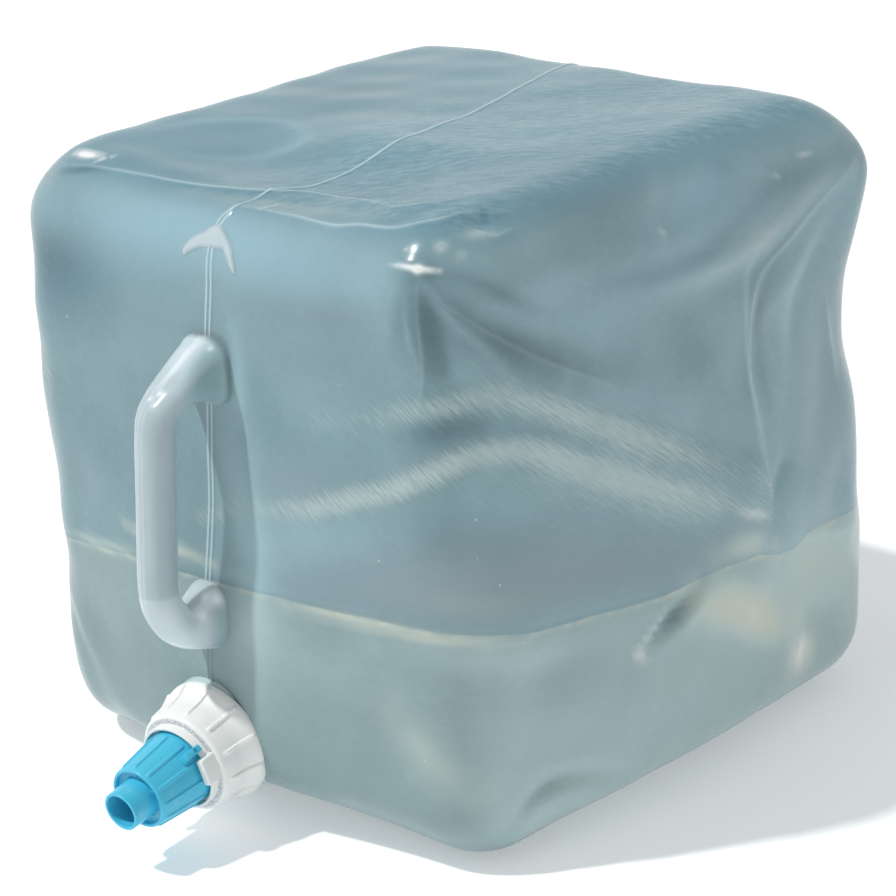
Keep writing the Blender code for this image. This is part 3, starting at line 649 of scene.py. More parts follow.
# painted shade in a small hollow on the top near the right edge
stroke(5, (119, -101, 281), (122, -96, 280.5), tone=-0.7)
stroke(2.6, (122, -123, 274), glint=0.35)
stroke(3.2, (112, -129, 272), glint=0.1)
stroke(2.2, (129, -119, 271), glint=0.18)
stroke(0.9, (110, -131, 273), glint=0.4)
stroke(15, (147, -24, 222), (147, -6, 208), (150, 8, 186), tone=-0.35)
stroke(7, (140, 101, 256), (143, 60, 240), (145, 20, 232), (145, -10, 230), tone=0.1, plum=0.25)
stroke(3, (144, 60, 244), (146, 34, 238), warm=0.18, tone=0.2)
stroke(5, (141, 78, 224), (147, 40, 206), (150, 28, 176), tone=-0.3)
stroke(5, (138, 107, 264), (140, 81, 260), (141, 63, 257), (143, 32, 249), (144, 7, 242),
       (144, -14, 240), (144, -39, 242), (143, -56, 246), tone=-0.42, blue=0.12)
stroke(5, (139, 112, 254), (142, 88, 251), (144, 66, 241), (145, 43, 233), (145, 22, 229),
       tone=0.25, plum=0.35)
stroke(1.6, (144, 60, 241), (145, 46, 236), (145, 36, 233), warm=0.3, tone=0.1)
stroke(13, (138, 42, 265), (139, 13, 264), (141, -16, 258), tone=0.28, blue=0.35)
stroke(6, (135, 22, 270), (134, 34, 271), (133, 46, 271), tone=-0.45, blue=0.2)
stroke(4, (124, 0, 280), (133, -6, 274), (139, -19, 265), plum=0.35, tone=0.25)
stroke(0.8, (137, 82, 266.5), (137, 86, 266.8), (137, 91, 267), glint=0.4)
stroke(1.2, (140, 64, 262), glint=0.8)
stroke(1.2, (142, -17, 256), glint=0.7)
stroke(1.6, (142, 66, 244), (145, 40, 226), (148, 32, 199), (151, 32, 171), (154, 36, 140),
       tone=0.5)
stroke(4, (143, 74, 236), (146, 48, 216), (149, 40, 186), (152, 42, 156), tone=-0.3)
stroke(13, (141, 104, 214), (145, 100, 180), (146, 96, 140), tone=-0.15, plum=0.3)
stroke(4, (144, 102, 190), (144, 105, 166), tone=0.35)
stroke(16, (136, 131, 250), (137, 128, 215), (139, 126, 160), tone=-0.6)
stroke(15, (48, -151, 126), (97, -145, 130), (134, -127, 132), (149, -84, 128), (156, -40, 120),
       (159, 4, 112), plum=0.75, tone=-0.1)
stroke(5, (112, -141, 128), (132, -129, 126), (146, -104, 122), warm=0.1)
stroke(12, (100, -144, 146), (130, -131, 150), (148, -84, 144), tone=-0.3, plum=0.25)
# painted caustic light just under the water's edge, on the right and along the front
stroke(5.5, (159, -4, 112), (158, 14, 111), (157, 34, 105), warm=0.55, tone=0.6)
stroke(2.6, (44, -154, 113), (86, -147, 112.5), (114, -141, 111.5), (132, -129, 110),
       (142, -112, 107), warm=0.55, tone=0.3)
stroke(7, (90, -147, 104), (120, -139, 104), (144, -106, 98), (152, -66, 96), tone=0.3)
stroke(15, (140, -118, 84), (149, -88, 82), (154, -62, 76), tone=-0.4)
# a bright warm lens of painted caustic light in the water on the right side
stroke(10, (159, -20, 96), (160, 4, 86), (159, 24, 74), (156, 52, 60), tone=1.1, warm=0.9)
stroke(17, (156, 40, 90), (152, 74, 80), (147, 100, 68), (146, 108, 46), tone=1.1, warm=0.34)
# painted shade in the crease below the water's edge, with a painted highlight at its tip
stroke(4.2, (159, -14, 103), (158, -26, 96), (156, -44, 89), tone=-1.3)
stroke(2.2, (156, -56, 84), (156, -52, 80), warm=0.5, glint=0.5)
stroke(1.4, (158, -38, 97), (157, -50, 88), (156, -56, 83), tone=0.9)
stroke(10, (98, -145, 74), (112, -141, 58), (128, -132, 40), tone=0.2, warm=0.22)
stroke(10, (136, -120, 60), (146, -96, 50), (150, -70, 44), tone=-0.12)
# a painted caustic spot low on the right side
stroke(7.5, (153, 58, 42), (151, 66, 40), glint=0.9, warm=0.6)
stroke(13, (151, 64, 38), warm=0.4, tone=0.4)
# painted shade along the crease near the bottom of the right front corner
stroke(4, (138, -117, 22), (143, -109, 34), (147, -92, 37), tone=-0.5)
stroke(12, (20, -154, 96), (70, -150, 84), (96, -146, 92), tone=0.14)
stroke(14, (26, -152, 136), (66, -148, 144), (104, -142, 150), tone=0.4)
stroke(12, (10, -152, 168), (46, -149, 166), (80, -146, 168), tone=0.1, plum=0.3)
# painted caustic light along the water's edge on the front
stroke(2.6, (-112, -142, 105), (-84, -148, 108), (-50, -152, 112), warm=0.4, tone=0.4)
stroke(2.6, (-60, -152, 124), (-20, -154, 123), (2, -156, 121), warm=0.7, tone=0.3)
stroke(3, (4, -156, 121), (34, -155, 118), warm=0.2)
stroke(10, (-130, -132, 92), (-120, -138, 78), tone=-0.3)
stroke(4.5, (-104, -92, 281), (-100, -62, 283), (-80, -44, 285), (-56, -36, 285), (-32, -50, 283),
       (-38, -74, 280), (-70, -92, 279), tone=0.75)
stroke(22, (-100, -80, 282), (-60, -90, 281), tone=-0.18, blue=0.2)
stroke(2.4, (-113, -117, 280), (-103, -118, 280), (-94, -118, 281), glint=1.5)
stroke(1.0, (-92, -122, 278), (-87, -114, 279), glint=0.8)
stroke(0.9, (18, -126, 275), (19, -122, 276), (20, -118, 277), glint=0.45)
# painted shade along the fold under the top left glint
stroke(2.4, (-112, -127, 274), (-98, -127, 276), (-80, -124, 278), tone=-0.7)
stroke(1.8, (119, -132, 267), glint=1.0)
stroke(1.2, (110, -134, 267), (119, -132, 267), (128, -129, 268), glint=0.9)
stroke(3, (124, -115, 276), (130, -104, 276), glint=0.25)
stroke(30, (60, -60, 284), (110, -40, 284), (118, 30, 284), tone=-0.28, plum=0.2)
stroke(14, (126, -84, 276), (138, -40, 268), (140, 20, 264), tone=-0.25)
stroke(26, (30, -70, 282), (60, 0, 285), (40, 60, 285), tone=0.22)
stroke(20, (4, -70, 280), (10, -40, 284), (0, 0, 285), tone=0.4, blue=0.1)
stroke(26, (-60, -6, 285), (-80, 40, 285), tone=-0.45)
stroke(5.5, (-132, -124, 196), (-144, -96, 182), (-150, -40, 158), (-153, 16, 146),
       (-150, 70, 156), (-142, 112, 172), streak=0.75)
stroke(8, (-140, -112, 160), (-150, -60, 140), (-154, 0, 128), (-151, 64, 136), streak=0.4)
stroke(26, (-144, 40, 226), (-146, 90, 190), tone=-0.4)
stroke(12, (-150, -60, 126), (-154, 0, 122), (-150, 60, 118), plum=0.6)
stroke(18, (-150, -70, 80), (-154, 0, 70), (-148, 80, 60), tone=0.35)
stroke(5.5, (126, 130, 190), (92, 142, 176), (36, 149, 160), (-24, 150, 158), (-80, 146, 172),
       (-122, 134, 188), streak=0.75)
stroke(8, (110, 138, 158), (50, 149, 140), (-20, 151, 134), (-84, 147, 142), streak=0.4)
stroke(28, (70, 142, 226), (120, 138, 200), tone=-0.4)
stroke(12, (-80, 147, 116), (0, 152, 114), (90, 147, 112), plum=0.6)
stroke(18, (-90, 146, 70), (0, 152, 60), (80, 148, 70), tone=0.3)


def paintFilm(bm, base, out):
    # soft masks that the finish of the film reads
    names = ("tone", "streak", "warm", "plum", "blue", "glint", "line")
    masks = {name: np.zeros(len(base)) for name in names}
    for reach, path, paint in filmTones:
        gap, along = nearPath(base, path, 3 * reach)
        fade = np.sin(math.pi * np.clip(along, 0.08, 0.92)) ** 0.7
        share = np.exp(-(gap / reach) ** 2) * fade
        for name, amount in paint.items():
            masks[name] += amount * share
    # painted highlights along the crests of the creases
    for _, _, path, _, line in filmFolds:
        if line:
            gap, along = nearPath(base, path, filmLook["lineReach"])
            fade = np.sin(math.pi * np.clip(along, 0.02, 0.98)) ** 0.7
            masks["line"] += line * fade * np.exp(-(gap / filmLook["lineWidth"]) ** 2)
    masks["seamAt"] = seamGap(base)
    right = easeBetween(out[:, 0], 0.5, 1.0)  # painted light on the right side, which the lamp doesn't reach
    front = easeBetween(-out[:, 1], 0.5, 0.95)
    masks["tone"] += filmLook["wetRight"] * right * (1 - easeBetween(base[:, 2], 0.08, 0.12))
    masks["tone"] += filmLook["right"] * right - filmLook["front"] * front
    onFace = easeBetween(-base[:, 1], 0.126, 0.138)
    lower = 1 - easeBetween(base[:, 2], seamLine["belowHandle"], seamLine["belowHandle"] + 0.004)
    masks["seamTone"] = seamLine["paint"] - onFace * lower * seamLine["darker"]
    masks["waterAt"] = waterHeight(base)
    # where the painted sky reflection lies
    masks["top"] = easeBetween(out[:, 2], 0.55, 0.95)
    masks["ripple"] = 0.10 + (0.90 * easeBetween(out[:, 2], 0.80, 0.97)
                              * easeBetween(base[:, 0] - 0.02, -0.09, 0.03))
    for name, values in masks.items():
        layer = bm.verts.layers.float.new(name)
        for vert, value in zip(bm.verts, values):
            vert[layer] = float(np.clip(value, -1, 1.5))


def makeBag():
    bm = boxSkin(bagSize["cells"])
    for reach in bagSize["splitNear"]:
        refineFilm(bm, reach)
    cutAtFolds(bm)
    readable(bm)
    flat = flatPoints(bm)
    base, out = fullBag(flat)
    point, _ = bagSurface(flat)
    paintFilm(bm, base, out)
    inBore = neckGap(point) < 0
    gone = [face for face in bm.faces if all(inBore[vert.index] for vert in face.verts)]
    for vert, place in zip(bm.verts, point):
        vert.co = place
    bmesh.ops.delete(bm, geom=gone, context="FACES")
    front, sides, back = threePieces(bm, ("filmFront", "filmSides", "filmBack"), filmFinish())
    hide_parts("front_panel")
    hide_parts("left_panel", "right_panel", "top_panel", "base_panel")
    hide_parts("back_panel")
    rideAll(front, sides, back)
    print("film:", sum(len(piece.data.polygons) for piece in (front, sides, back)), "faces")


# water

water = {
    "clear": 0.0012,  # between water and film
    "top": 0.110,
    "darkens": 0.035,  # over this depth
    "shallow": (0.62, 0.78, 0.74),
    "deep": (0.30, 0.46, 0.47),
    "causticGlitter": (0.95, 0.96, 0.86),
}


def waterFinish():
    finish = Finish("water", {"Roughness": 0.08, "IOR": 1.33, "Alpha": 0.9})
    below = water["top"] - finish.axis("Z")
    color = finish.mix(water["shallow"], water["deep"], below.between(0.0, water["darkens"]))
    # painted caustic light: a paler net through the water, and glitter just under its surface
    net = 1 - finish.spots(70).between(0.05, 0.5)
    causticGlitter = finish.noise(34, 5).between(0.45, 0.62) * (1 - below.between(0.001, 0.010))
    color = finish.mix(color, water["causticGlitter"], causticGlitter * 0.7)
    color = finish.mix(color, water["shallow"],
                       (1 - net) * finish.noise(8, 2).between(0.4, 0.7) * 0.3)
    finish.feed(finish.shader, {"Base Color": color,
                                "Normal": finish.bump(finish.noise(26, 2), 0.002, 0.3)})
    return finish


def makeWater():
    bm = boxSkin(bagSize["coarseCells"])
    readable(bm)
    point, out = bagSurface(flatPoints(bm), fine=False)
    point -= out * water["clear"]
    point[:, 2] -= waterHeight(point)
    for vert, place in zip(bm.verts, point):
        vert.co = place
    geometry = list(bm.verts) + list(bm.edges) + list(bm.faces)
    cut = bmesh.ops.bisect_plane(bm, geom=geometry, plane_co=(0, 0, 0), plane_no=(0, 0, 1),
                                 clear_outer=True)
    rim = [item for item in cut["geom_cut"] if isinstance(item, bmesh.types.BMEdge)]
    filled = bmesh.ops.holes_fill(bm, edges=rim)["faces"]
    bmesh.ops.triangulate(bm, faces=filled)
    readable(bm)
    for vert, rise in zip(bm.verts, waterHeight(flatPoints(bm))):
        vert.co.z += rise
    cutAtFolds(bm)
    pieces = threePieces(bm, ("waterFront", "waterMiddle", "waterBack"), waterFinish())
    for piece in pieces:
        piece.data.set_sharp_from_angle(angle=math.radians(50))
    rideAll(*pieces)
    print("water:", sum(len(piece.data.polygons) for piece in pieces), "faces")


# turned and ribbed pieces, along the axis of the closure

def closureMatrix():
    side = Vector((-closureAxis.y, closureAxis.x, 0)).normalized()
    up = closureAxis.cross(side)
    turn = Matrix((side, up, closureAxis)).transposed().to_4x4()
    return Matrix.Translation(closureAt) @ turn


def roundedOutline(corners, spacing):
    # corners are (radius, height, rounding) in mm; gives dense points with round corners
    points = []
    for index, (*corner, rounding) in enumerate(corners):
        corner = np.array(corner, float)
        if rounding == 0:
            points.append(corner)
            continue
        before = np.array(corners[index - 1][:2]) - corner
        after = np.array(corners[(index + 1) % len(corners)][:2]) - corner
        reach = min(rounding, 0.49 * np.linalg.norm(before), 0.49 * np.linalg.norm(after))
        start = corner + before / np.linalg.norm(before) * reach
        end = corner + after / np.linalg.norm(after) * reach
        for t in (0, 0.25, 0.5, 0.75, 1):
            points.append(start * (1 - t) ** 2 + corner * 2 * t * (1 - t) + end * t * t)
    dense = []
    for start, end in zip(points, points[1:] + points[:1]):
        pieces = max(1, round(float(np.linalg.norm(end - start)) / spacing))
        dense += [start + (end - start) * step / pieces for step in range(pieces)]
    return np.array(dense) / 1000


def joinRings(bm, rings):
    for ring, following in zip(rings, rings[1:]):
        for index, vert in enumerate(ring):
            after = (index + 1) % len(ring)
            bm.faces.new((vert, following[index], following[after], ring[after]))


def turned(bm, corners, spacing, steps, lift=None):
    # turns an outline; lift(angle, points, outward) raises ribs and the like
    outline = roundedOutline(corners, spacing)
    ahead = np.roll(outline, -1, axis=0) - np.roll(outline, 1, axis=0)
    outward = np.stack([-ahead[:, 1], ahead[:, 0]], axis=1)
    outward /= np.maximum(np.linalg.norm(outward, axis=1, keepdims=True), 1e-9)
    rings = []
    for step in range(steps):
        angle = 2 * math.pi * step / steps
        points = outline + (outward * lift(angle, outline, outward)[:, None] if lift else 0)
        rings.append([bm.verts.new((radius * math.cos(angle), radius * math.sin(angle), height))
                      for radius, height in points])
    joinRings(bm, rings + rings[:1])


def thread(bm, wall, start, pitch, turns, size, first=0.0, steps=110):
    # a round bead that winds along a wall, with its ends run out; sizes in mm
    sides, whole, runOut = 8, 2 * math.pi * turns, 0.25
    rings = []
    for step in range(steps + 1):
        angle = first + whole * step / steps
        height = (start + pitch * turns * step / steps) / 1000
        share = min(angle - first, first + whole - angle) / runOut
        thick = size / 1000 * max(0.15, min(1.0, share))
        ring = []
        for side in range(sides):
            turn = 2 * math.pi * side / sides
            reach = wall / 1000 + thick * math.cos(turn)
            ring.append(bm.verts.new((reach * math.cos(angle), reach * math.sin(angle),
                                      height + thick * math.sin(turn))))
        rings.append(ring)
    joinRings(bm, rings)
    bm.faces.new(rings[0])
    bm.faces.new(reversed(rings[-1]))


def roundedBlock(bm, size, place, turn, rounding):
    # a block with soft edges that stands on the closure, turned round its axis; mm and degrees
    block = bmesh.new()
    bmesh.ops.create_cube(block, size=1)
    for vert in block.verts:
        vert.co = Vector((vert.co[axis] * size[axis] + place[axis]) / 1000 for axis in range(3))
    bmesh.ops.bevel(block, geom=block.edges, offset=rounding / 1000, segments=3, profile=0.5,
                    affect="EDGES")
    bmesh.ops.rotate(block, verts=block.verts, cent=(0, 0, 0),
                     matrix=Matrix.Rotation(math.radians(turn), 3, "Z"))
    mesh = bpy.data.meshes.new("block")
    block.to_mesh(mesh)
    block.free()
    bm.from_mesh(mesh)
    bpy.data.meshes.remove(mesh)


def closurePiece(bm, name, finish, body, node):
    bmesh.ops.transform(bm, verts=bm.verts, matrix=closureMatrix())
    settle(bm, name, finish, body, node, sharp=40)


def ribs(count, first, width, height, low, high, fade):
    # soft ribs on the outer side of a turned wall, between two heights; sizes in mm
    def lift(angle, points, outward):
        radius = points[:, 0]
        pitch = 2 * math.pi / count
        away = ((angle - math.radians(first) + pitch / 2) % pitch - pitch / 2) * radius * 1000
        across = 1 - easeBetween(np.abs(away), width / 2 - 0.25, width / 2 + 0.35)
        along = easeBetween(points[:, 1] * 1000, low, low + fade)
        along *= 1 - easeBetween(points[:, 1] * 1000, high - fade, high)
        return height / 1000 * across * along * (outward[:, 0] > 0.5)
    return lift


plastics = {  # colour, its darker places, roughness, colour of its worn spots; on the blue plastic these paler spots are a painted sheen
    "whitePlastic": ((0.88, 0.88, 0.85), (0.80, 0.81, 0.78), 0.40, (0.74, 0.74, 0.71)),
    "bluePlastic": ((0.07, 0.52, 0.73), (0.01, 0.43, 0.68), 0.34, (0.40, 0.66, 0.76)),
    "sealRubber": ((0.05, 0.05, 0.055), (0.03, 0.03, 0.035), 0.62, (0.12, 0.12, 0.12)),
    "neckFilm": ((0.50, 0.62, 0.64), (0.42, 0.54, 0.56), 0.25, (0.56, 0.66, 0.66)),
}


def plasticFinish(name, color, dark, roughness, wearAndSheen):
    # moulded plastic: slightly uneven colour and gloss, with a fine skin
    finish = Finish(name, {"IOR": 1.49})
    cloud = finish.noise(26, 4)
    # spots of wear and dust, and on the blue plastic a painted sheen
    dustAndSheen = finish.noise(150, 4).between(0.55, 0.75)
    shade = finish.mix(color, dark, cloud.between(0.35, 0.75) * 0.35)
    crust = finish.attribute("ring") * (0.30 + finish.noise(1500, 2).between(0.42, 0.56) * 0.70)
    shade = finish.mix(shade, (0.42, 0.46, 0.50), crust)
    finish.feed(finish.shader, {"Base Color": finish.mix(shade, wearAndSheen, dustAndSheen * 0.18),
                                "Roughness": roughness + (cloud - 0.5) * 0.15,
                                "Normal": finish.bump(finish.noise(520, 2), 0.00025, 0.35)})
    return finish


neckSize = {
    "wall": 1.8, "radius": 21.1, "lip": 16.4, "ledge": -0.8, "shoulder": 27.8,
    "threadRadius": 1.2, "threadStart": 7.4, "threadPitch": 6.0, "threadTurns": 1.15,
    "skirt": [  # under the shoulder, outside and back up inside: out, down and rounding
        (0.6, 6, 4), (3.0, 13, 4), (7, 18, 2), (6, 19.5, 0.5), (1.4, 14, 4), (-1.2, 6, 4)],
}


def makeNeck(finish):
    s = SimpleNamespace(**neckSize)
    wall, radius, ledge, shoulder = s.wall, s.radius, s.ledge, s.shoulder
    skirt = [(shoulder + away, ledge - down, rounding) for away, down, rounding in s.skirt]
    corners = [(radius, s.lip, 0.6), (radius, ledge, 0.4), (shoulder, ledge, 1.6), *skirt,
               (shoulder - wall, ledge - wall, 1.0), (radius - wall, ledge - wall, 0.8),
               (radius - wall, s.lip, 0.6)]
    bm = bmesh.new()
    turned(bm, corners, 1.6, 128)
    thread(bm, radius - s.threadRadius / 4, s.threadStart, s.threadPitch, s.threadTurns,
           s.threadRadius)
    closurePiece(bm, "threadedNeck", finish, "bag_front", "threaded_neck")


capSize = {
    "rim": 28.4, "rimWall": 1.9, "rimHigh": 2.4, "waist": 25.0, "waistIn": 0.5, "waistShare": 0.68,
    "front": 23.4, "frontEdge": 1.0, "length": 22.3, "flare": 10.0,
    "bore": 22.4, "boreLead": (2.0, 5.0), "gasketSeat": 18.1, "innerFace": 20.2, "land": 18.9,
    "collar": 19.9, "collarWall": 1.2, "collarTop": 26.7,
    "barrel": 11.5, "barrelBore": 9.4, "barrelTop": 44.3,
    "ribs": 12, "ribTurn": -9, "ribWidth": 1.5, "ribHeight": 0.85, "ribLow": 2.0, "ribHigh": 19.0,
    "threadSunk": 0.3, "camPitch": 12, "camTurns": 0.45, "camStart": 7, "camRadius": 1.0,
    "camSunk": 0.25, "lugTurn": 14, "lugReach": 21.9, "lugWidth": 12.0, "lugThickness": 3.7,
    "lugTop": 30.3, "lugSunk": 1.0,
}


def makeCap(finish):
    s, n = SimpleNamespace(**capSize), SimpleNamespace(**neckSize)
    length, rim, waist = s.length, s.rim, s.waist
    corners = [(s.barrel, s.barrelTop, 0.4), (s.barrel, length, 0.5),
               (s.collar - s.collarWall, length, 0.4),
               (s.collar - s.collarWall, s.collarTop, 0.4),
               (s.collar, s.collarTop, 0.4), (s.collar, length, 0.5),
               (s.front, length, 2.2), (waist - s.waistIn, length * s.waistShare, 5),
               (waist, s.flare, 4), (rim, s.rimHigh, 3.0), (rim, 0, 0.6), (rim - s.rimWall, 0, 0.5),
               (rim - s.rimWall, s.boreLead[0], 1.0), (s.bore, s.boreLead[1], 1.0),
               (s.bore, s.gasketSeat, 0.3),
               (s.land, s.gasketSeat, 0.2), (s.land, s.innerFace, 0.3),
               (s.barrelBore, s.innerFace, 0.3), (s.barrelBore, s.barrelTop, 0.4)]
    bm = bmesh.new()
    lift = ribs(s.ribs, s.ribTurn, s.ribWidth, s.ribHeight, s.ribLow, s.ribHigh, 1.2)
    turned(bm, corners, 1.1, 288, lift)
    height = s.lugTop - length + s.lugSunk
    for turn in (s.lugTurn, s.lugTurn + 180):
        roundedBlock(bm, (s.lugThickness, s.lugWidth, height),
                     (s.lugReach - s.lugThickness / 2, 0, s.lugTop - height / 2), turn, 0.7)
    thread(bm, s.bore + s.threadSunk, n.threadStart - n.threadPitch / 2, n.threadPitch,
           n.threadTurns, n.threadRadius)
    for first in (0, math.pi):
        thread(bm, s.barrel - s.camSunk, length + s.camStart, s.camPitch, s.camTurns, s.camRadius,
               first, 40)
    ring = bm.verts.layers.float.new("ring")
    for vert in bm.verts:
        radius, height = math.hypot(vert.co.x, vert.co.y) * 1000, vert.co.z * 1000
        onFront = abs(height - length) < 0.3
        vert[ring] = float(onFront and s.collar < radius < s.front - s.frontEdge)
    closurePiece(bm, "screwCap", finish, "cap", "screw_cap")


nozzleSize = {
    "base": 22.6, "front": 52.3, "sleeve": 17.7, "sleeveFront": 14.2, "wall": 1.6,
    "floor": 49.7, "floorWall": 2.0, "spout": 9.0, "spoutRoot": 9.4, "spoutWall": 1.4, "tip": 63.2,
    "tubeRadius": 8.6, "tubeBore": 6.9, "tubeEnd": 32.6, "boreStep": 1.5, "camBore": 12.55,
    "camDepth": 10.5, "ribs": 12, "ribTurn": 30, "ribWidth": 1.2, "ribHeight": 0.75,
    "ribInsets": (5.5, 1.6), "ringAt": 36.6, "ringHalf": 0.9, "tabTurn": 43, "tabReach": 21.8,
    "tabWidth": 3.2, "tabLow": 27.2, "tabLength": 7.3, "tabSunk": 0.5, "tabOverhang": 2.0,
    "tabLap": 2.5, "tabClear": 0.5,
}


def makeNozzle(finish):
    s = SimpleNamespace(**nozzleSize)
    floor, under, groove = s.floor, s.floor - s.floorWall, s.ringHalf
    spoutBore, inner = s.spout - s.spoutWall, s.sleeveFront - s.wall
    corners = [(spoutBore, s.tip, 0.5), (s.spout, s.tip, 0.5), (s.spoutRoot, floor, 0.8),
               (inner, floor, 0.8), (inner, s.front, 0.7), (s.sleeveFront, s.front, 1.0),
               (s.sleeve, s.base, 0.5), (s.sleeve - s.wall, s.base, 0.4),
               (s.camBore, under - s.camDepth, 0.6), (s.camBore, under, 0.5),
               (s.tubeRadius, under, 0.4), (s.tubeRadius, s.ringAt + groove, 0.2),
               (s.tubeRadius - groove, s.ringAt + groove, 0.2),
               (s.tubeRadius - groove, s.ringAt - groove, 0.2),
               (s.tubeRadius, s.ringAt - groove, 0.2), (s.tubeRadius, s.tubeEnd, 0.3),
               (s.tubeBore, s.tubeEnd, 0.3), (s.tubeBore, floor, 0.5),
               (spoutBore, floor + s.boreStep, 0.5)]
    bm = bmesh.new()
    lift = ribs(s.ribs, s.ribTurn, s.ribWidth, s.ribHeight, s.base + s.ribInsets[0],
                s.front - s.ribInsets[1], 0.7)
    turned(bm, corners, 1.0, 252, lift)
    reach = s.tabReach - s.sleeveFront + s.tabSunk
    roundedBlock(bm, (reach, s.tabWidth, s.tabLength),
                 (s.tabReach - reach / 2, 0, s.tabLow + s.tabLength / 2), s.tabTurn, 0.7)
    thick = s.tabReach - capSize["collar"] - s.tabClear
    roundedBlock(bm, (thick, s.tabWidth, s.tabOverhang + s.tabLap),
                 (s.tabReach - thick / 2, 0, s.tabLow + (s.tabLap - s.tabOverhang) / 2),
                 s.tabTurn, 0.5)
    closurePiece(bm, "twistNozzle", finish, "nozzle", "spigot_nozzle")


sealRings = {  # body and node, inner and outer radius, low and high end and rounding in mm
    "capGasket": ("gasket", "cap_gasket", 18.9, 22.1, 16.7, 17.8, 0.3),
    "seatWasher": ("cap", "seat_washer", 2.9, 7.6, 31.1, 32.3, 0.3),
    "nozzleRing": ("o_ring", "nozzle_o_ring", 7.85, 9.05, 36.0, 37.2, 0.55),
}


def makeRing(name, finish, body, node, inner, outer, low, high, rounding):
    bm = bmesh.new()
    corners = [(outer, high, rounding), (outer, low, rounding), (inner, low, rounding),
               (inner, high, rounding)]
    turned(bm, corners, 1.0, 96)
    closurePiece(bm, name, finish, body, node)


stemSize = {"ring": 9.1, "ringBore": 7.8, "ringTop": 3.4, "rod": 2.6, "plugAt": 9.0, "plug": 7.6,
            "plugWall": 1.6, "rodTop": 4.2, "spoke": (6.8, 1.8, 2.8), "spokeOut": 5.1,
            "spokeTurns": (90, 210, 330)}


def makeStem(finish):
    s, base = SimpleNamespace(**stemSize), capSize["innerFace"]
    plug, ringTop = base + s.plugAt, base + s.ringTop
    bm = bmesh.new()
    turned(bm, [(s.ring, ringTop, 0.3), (s.ring, base, 0.3), (s.ringBore, base, 0.3),
                (s.ringBore, ringTop, 0.3)], 0.8, 72)
    turned(bm, [(0.05, plug + s.rodTop, 0), (s.rod, plug + s.rodTop, 0.6),
                (s.rod, plug + s.plugWall, 0.3), (s.plug, plug + s.plugWall, 0.3),
                (s.plug, plug, 0.3), (s.rod, plug, 0.3), (s.rod, base, 0.5), (0.05, base, 0)],
           0.8, 72)
    for turn in s.spokeTurns:
        roundedBlock(bm, s.spoke, (s.spokeOut, 0, base + s.ringTop / 2), turn, 0.3)
    closurePiece(bm, "valveStem", finish, "cap", "valve_stem")


# handle and tab

handleSize = {
    "sections": [  # y and z of the outer side, then of the inner side, half width, squareness
        (-138, 226, -143, 190.8, 16.4, 0.62), (-147, 222, -149, 192.8, 14.4, 0.62),
        (-151, 219.5, -152, 194.3, 13.2, 0.62), (-156, 216.8, -156, 195.6, 12.2, 0.64),
        (-165.6, 210.8, -161.3, 196.2, 11.2, 0.70), (-175.4, 204.8, -165.3, 194.6, 10.1, 0.82),
        (-183.2, 197.6, -168.2, 191.0, 9.2, 0.94),
        (-186.6, 187, -169.1, 184.3, 8.9, 1), (-189.3, 158.9, -171.7, 157.9, 8.8, 1),
        (-191.9, 132.5, -174.4, 131.7, 8.7, 1), (-192.7, 118.8, -175.2, 118.2, 8.7, 1),
        (-191.0, 107.3, -174.3, 113.3, 8.7, 1), (-184.5, 96, -172.3, 108.4, 8.8, 1),
        (-176, 89.2, -169.9, 106.4, 9.2, 0.95), (-165, 84.8, -163.8, 111.4, 10.4, 0.9),
        (-157, 83, -157.5, 113.8, 13, 0.85), (-147, 82, -148, 114, 15, 0.8)],
    "sides": 96,
    "ridge": 0.6,  # twin parting line along the top of the upper leg
    "ridgeGap": 1.2,
    "ridgeWidth": 0.55,
    "ridgeEnd": 0.34,  # share of the handle's length where that line gets faint
    "ridgeFaint": 0.25,
    "roots": ((-172, -158, 2, 10), (-168, -160, -4, 3)),  # y and x where each end turns clear
    "sinks": ((-150, -146), (-158, -155)),  # y where the wall of each end melts into the film
    "paint": (0.80, 0.30, 0.80, 0.45),  # ridge, painted edge-on rims, seam of the lower leg, and painted light on its bend
    "knobs": [  # pinched film over the lower leg: place, reach and push up in mm
        (4, -173, 107, 3.4, 1.6), (6, -160, 110, 4, 1.8), (5, -164, 102, 2.4, -1.2)],
    "glints": [  # painted glints: place and reach
        (5.9, -163.9, 110.3, 1.5), (9.4, -160.5, 108.9, 1.9), (8.5, -168.4, 102.9, 1.6),
        (7.9, -150.5, 218, 1.3), (3, -175.3, 204.7, 1.4), (-0.5, -178.3, 202.6, 1.2)],
}

handleColors = {
    "grip": (0.45, 0.53, 0.56),
    "upper": (0.68, 0.78, 0.83),
    "wet": (0.60, 0.69, 0.71),  # under the water's edge
    "root": (0.30, 0.44, 0.47),
    "line": (0.84, 0.90, 0.93),
}


def thickFilmFinish():
    finish = Finish("thickFilm", {"IOR": 1.45, "Subsurface Weight": 0.5,
                                  "Subsurface Radius": (1, 1, 1), "Subsurface Scale": 0.010})
    height = finish.axis("Z")
    cloud = finish.noise(34, 3)
    streaks = finish.noise(90, 3, (1, 1, 14))
    share = height.between(0.190, 0.222) * 0.7 + (cloud - 0.5) * 0.5 + (streaks - 0.5) * 0.8
    color = finish.mix(handleColors["grip"], handleColors["upper"], share)
    color = finish.mix(color, handleColors["wet"], (1 - height.between(0.1165, 0.1180)) * 0.7)
    color = finish.mix(color, handleColors["root"], finish.attribute("root") * 0.9)
    # pale lines: the parting ridge and seam, and painted rims, glints and light on the lower bend
    color = finish.mix(color, handleColors["line"], finish.attribute("line"))
    finish.feed(finish.shader, {"Base Color": color, "Roughness": 0.20 + (cloud - 0.5) * 0.12,
                                "Alpha": 0.90 - finish.attribute("sink") * 0.82,
                                "Normal": finish.bump(finish.noise(110, 3), 0.0005, 0.25)})
    return finish


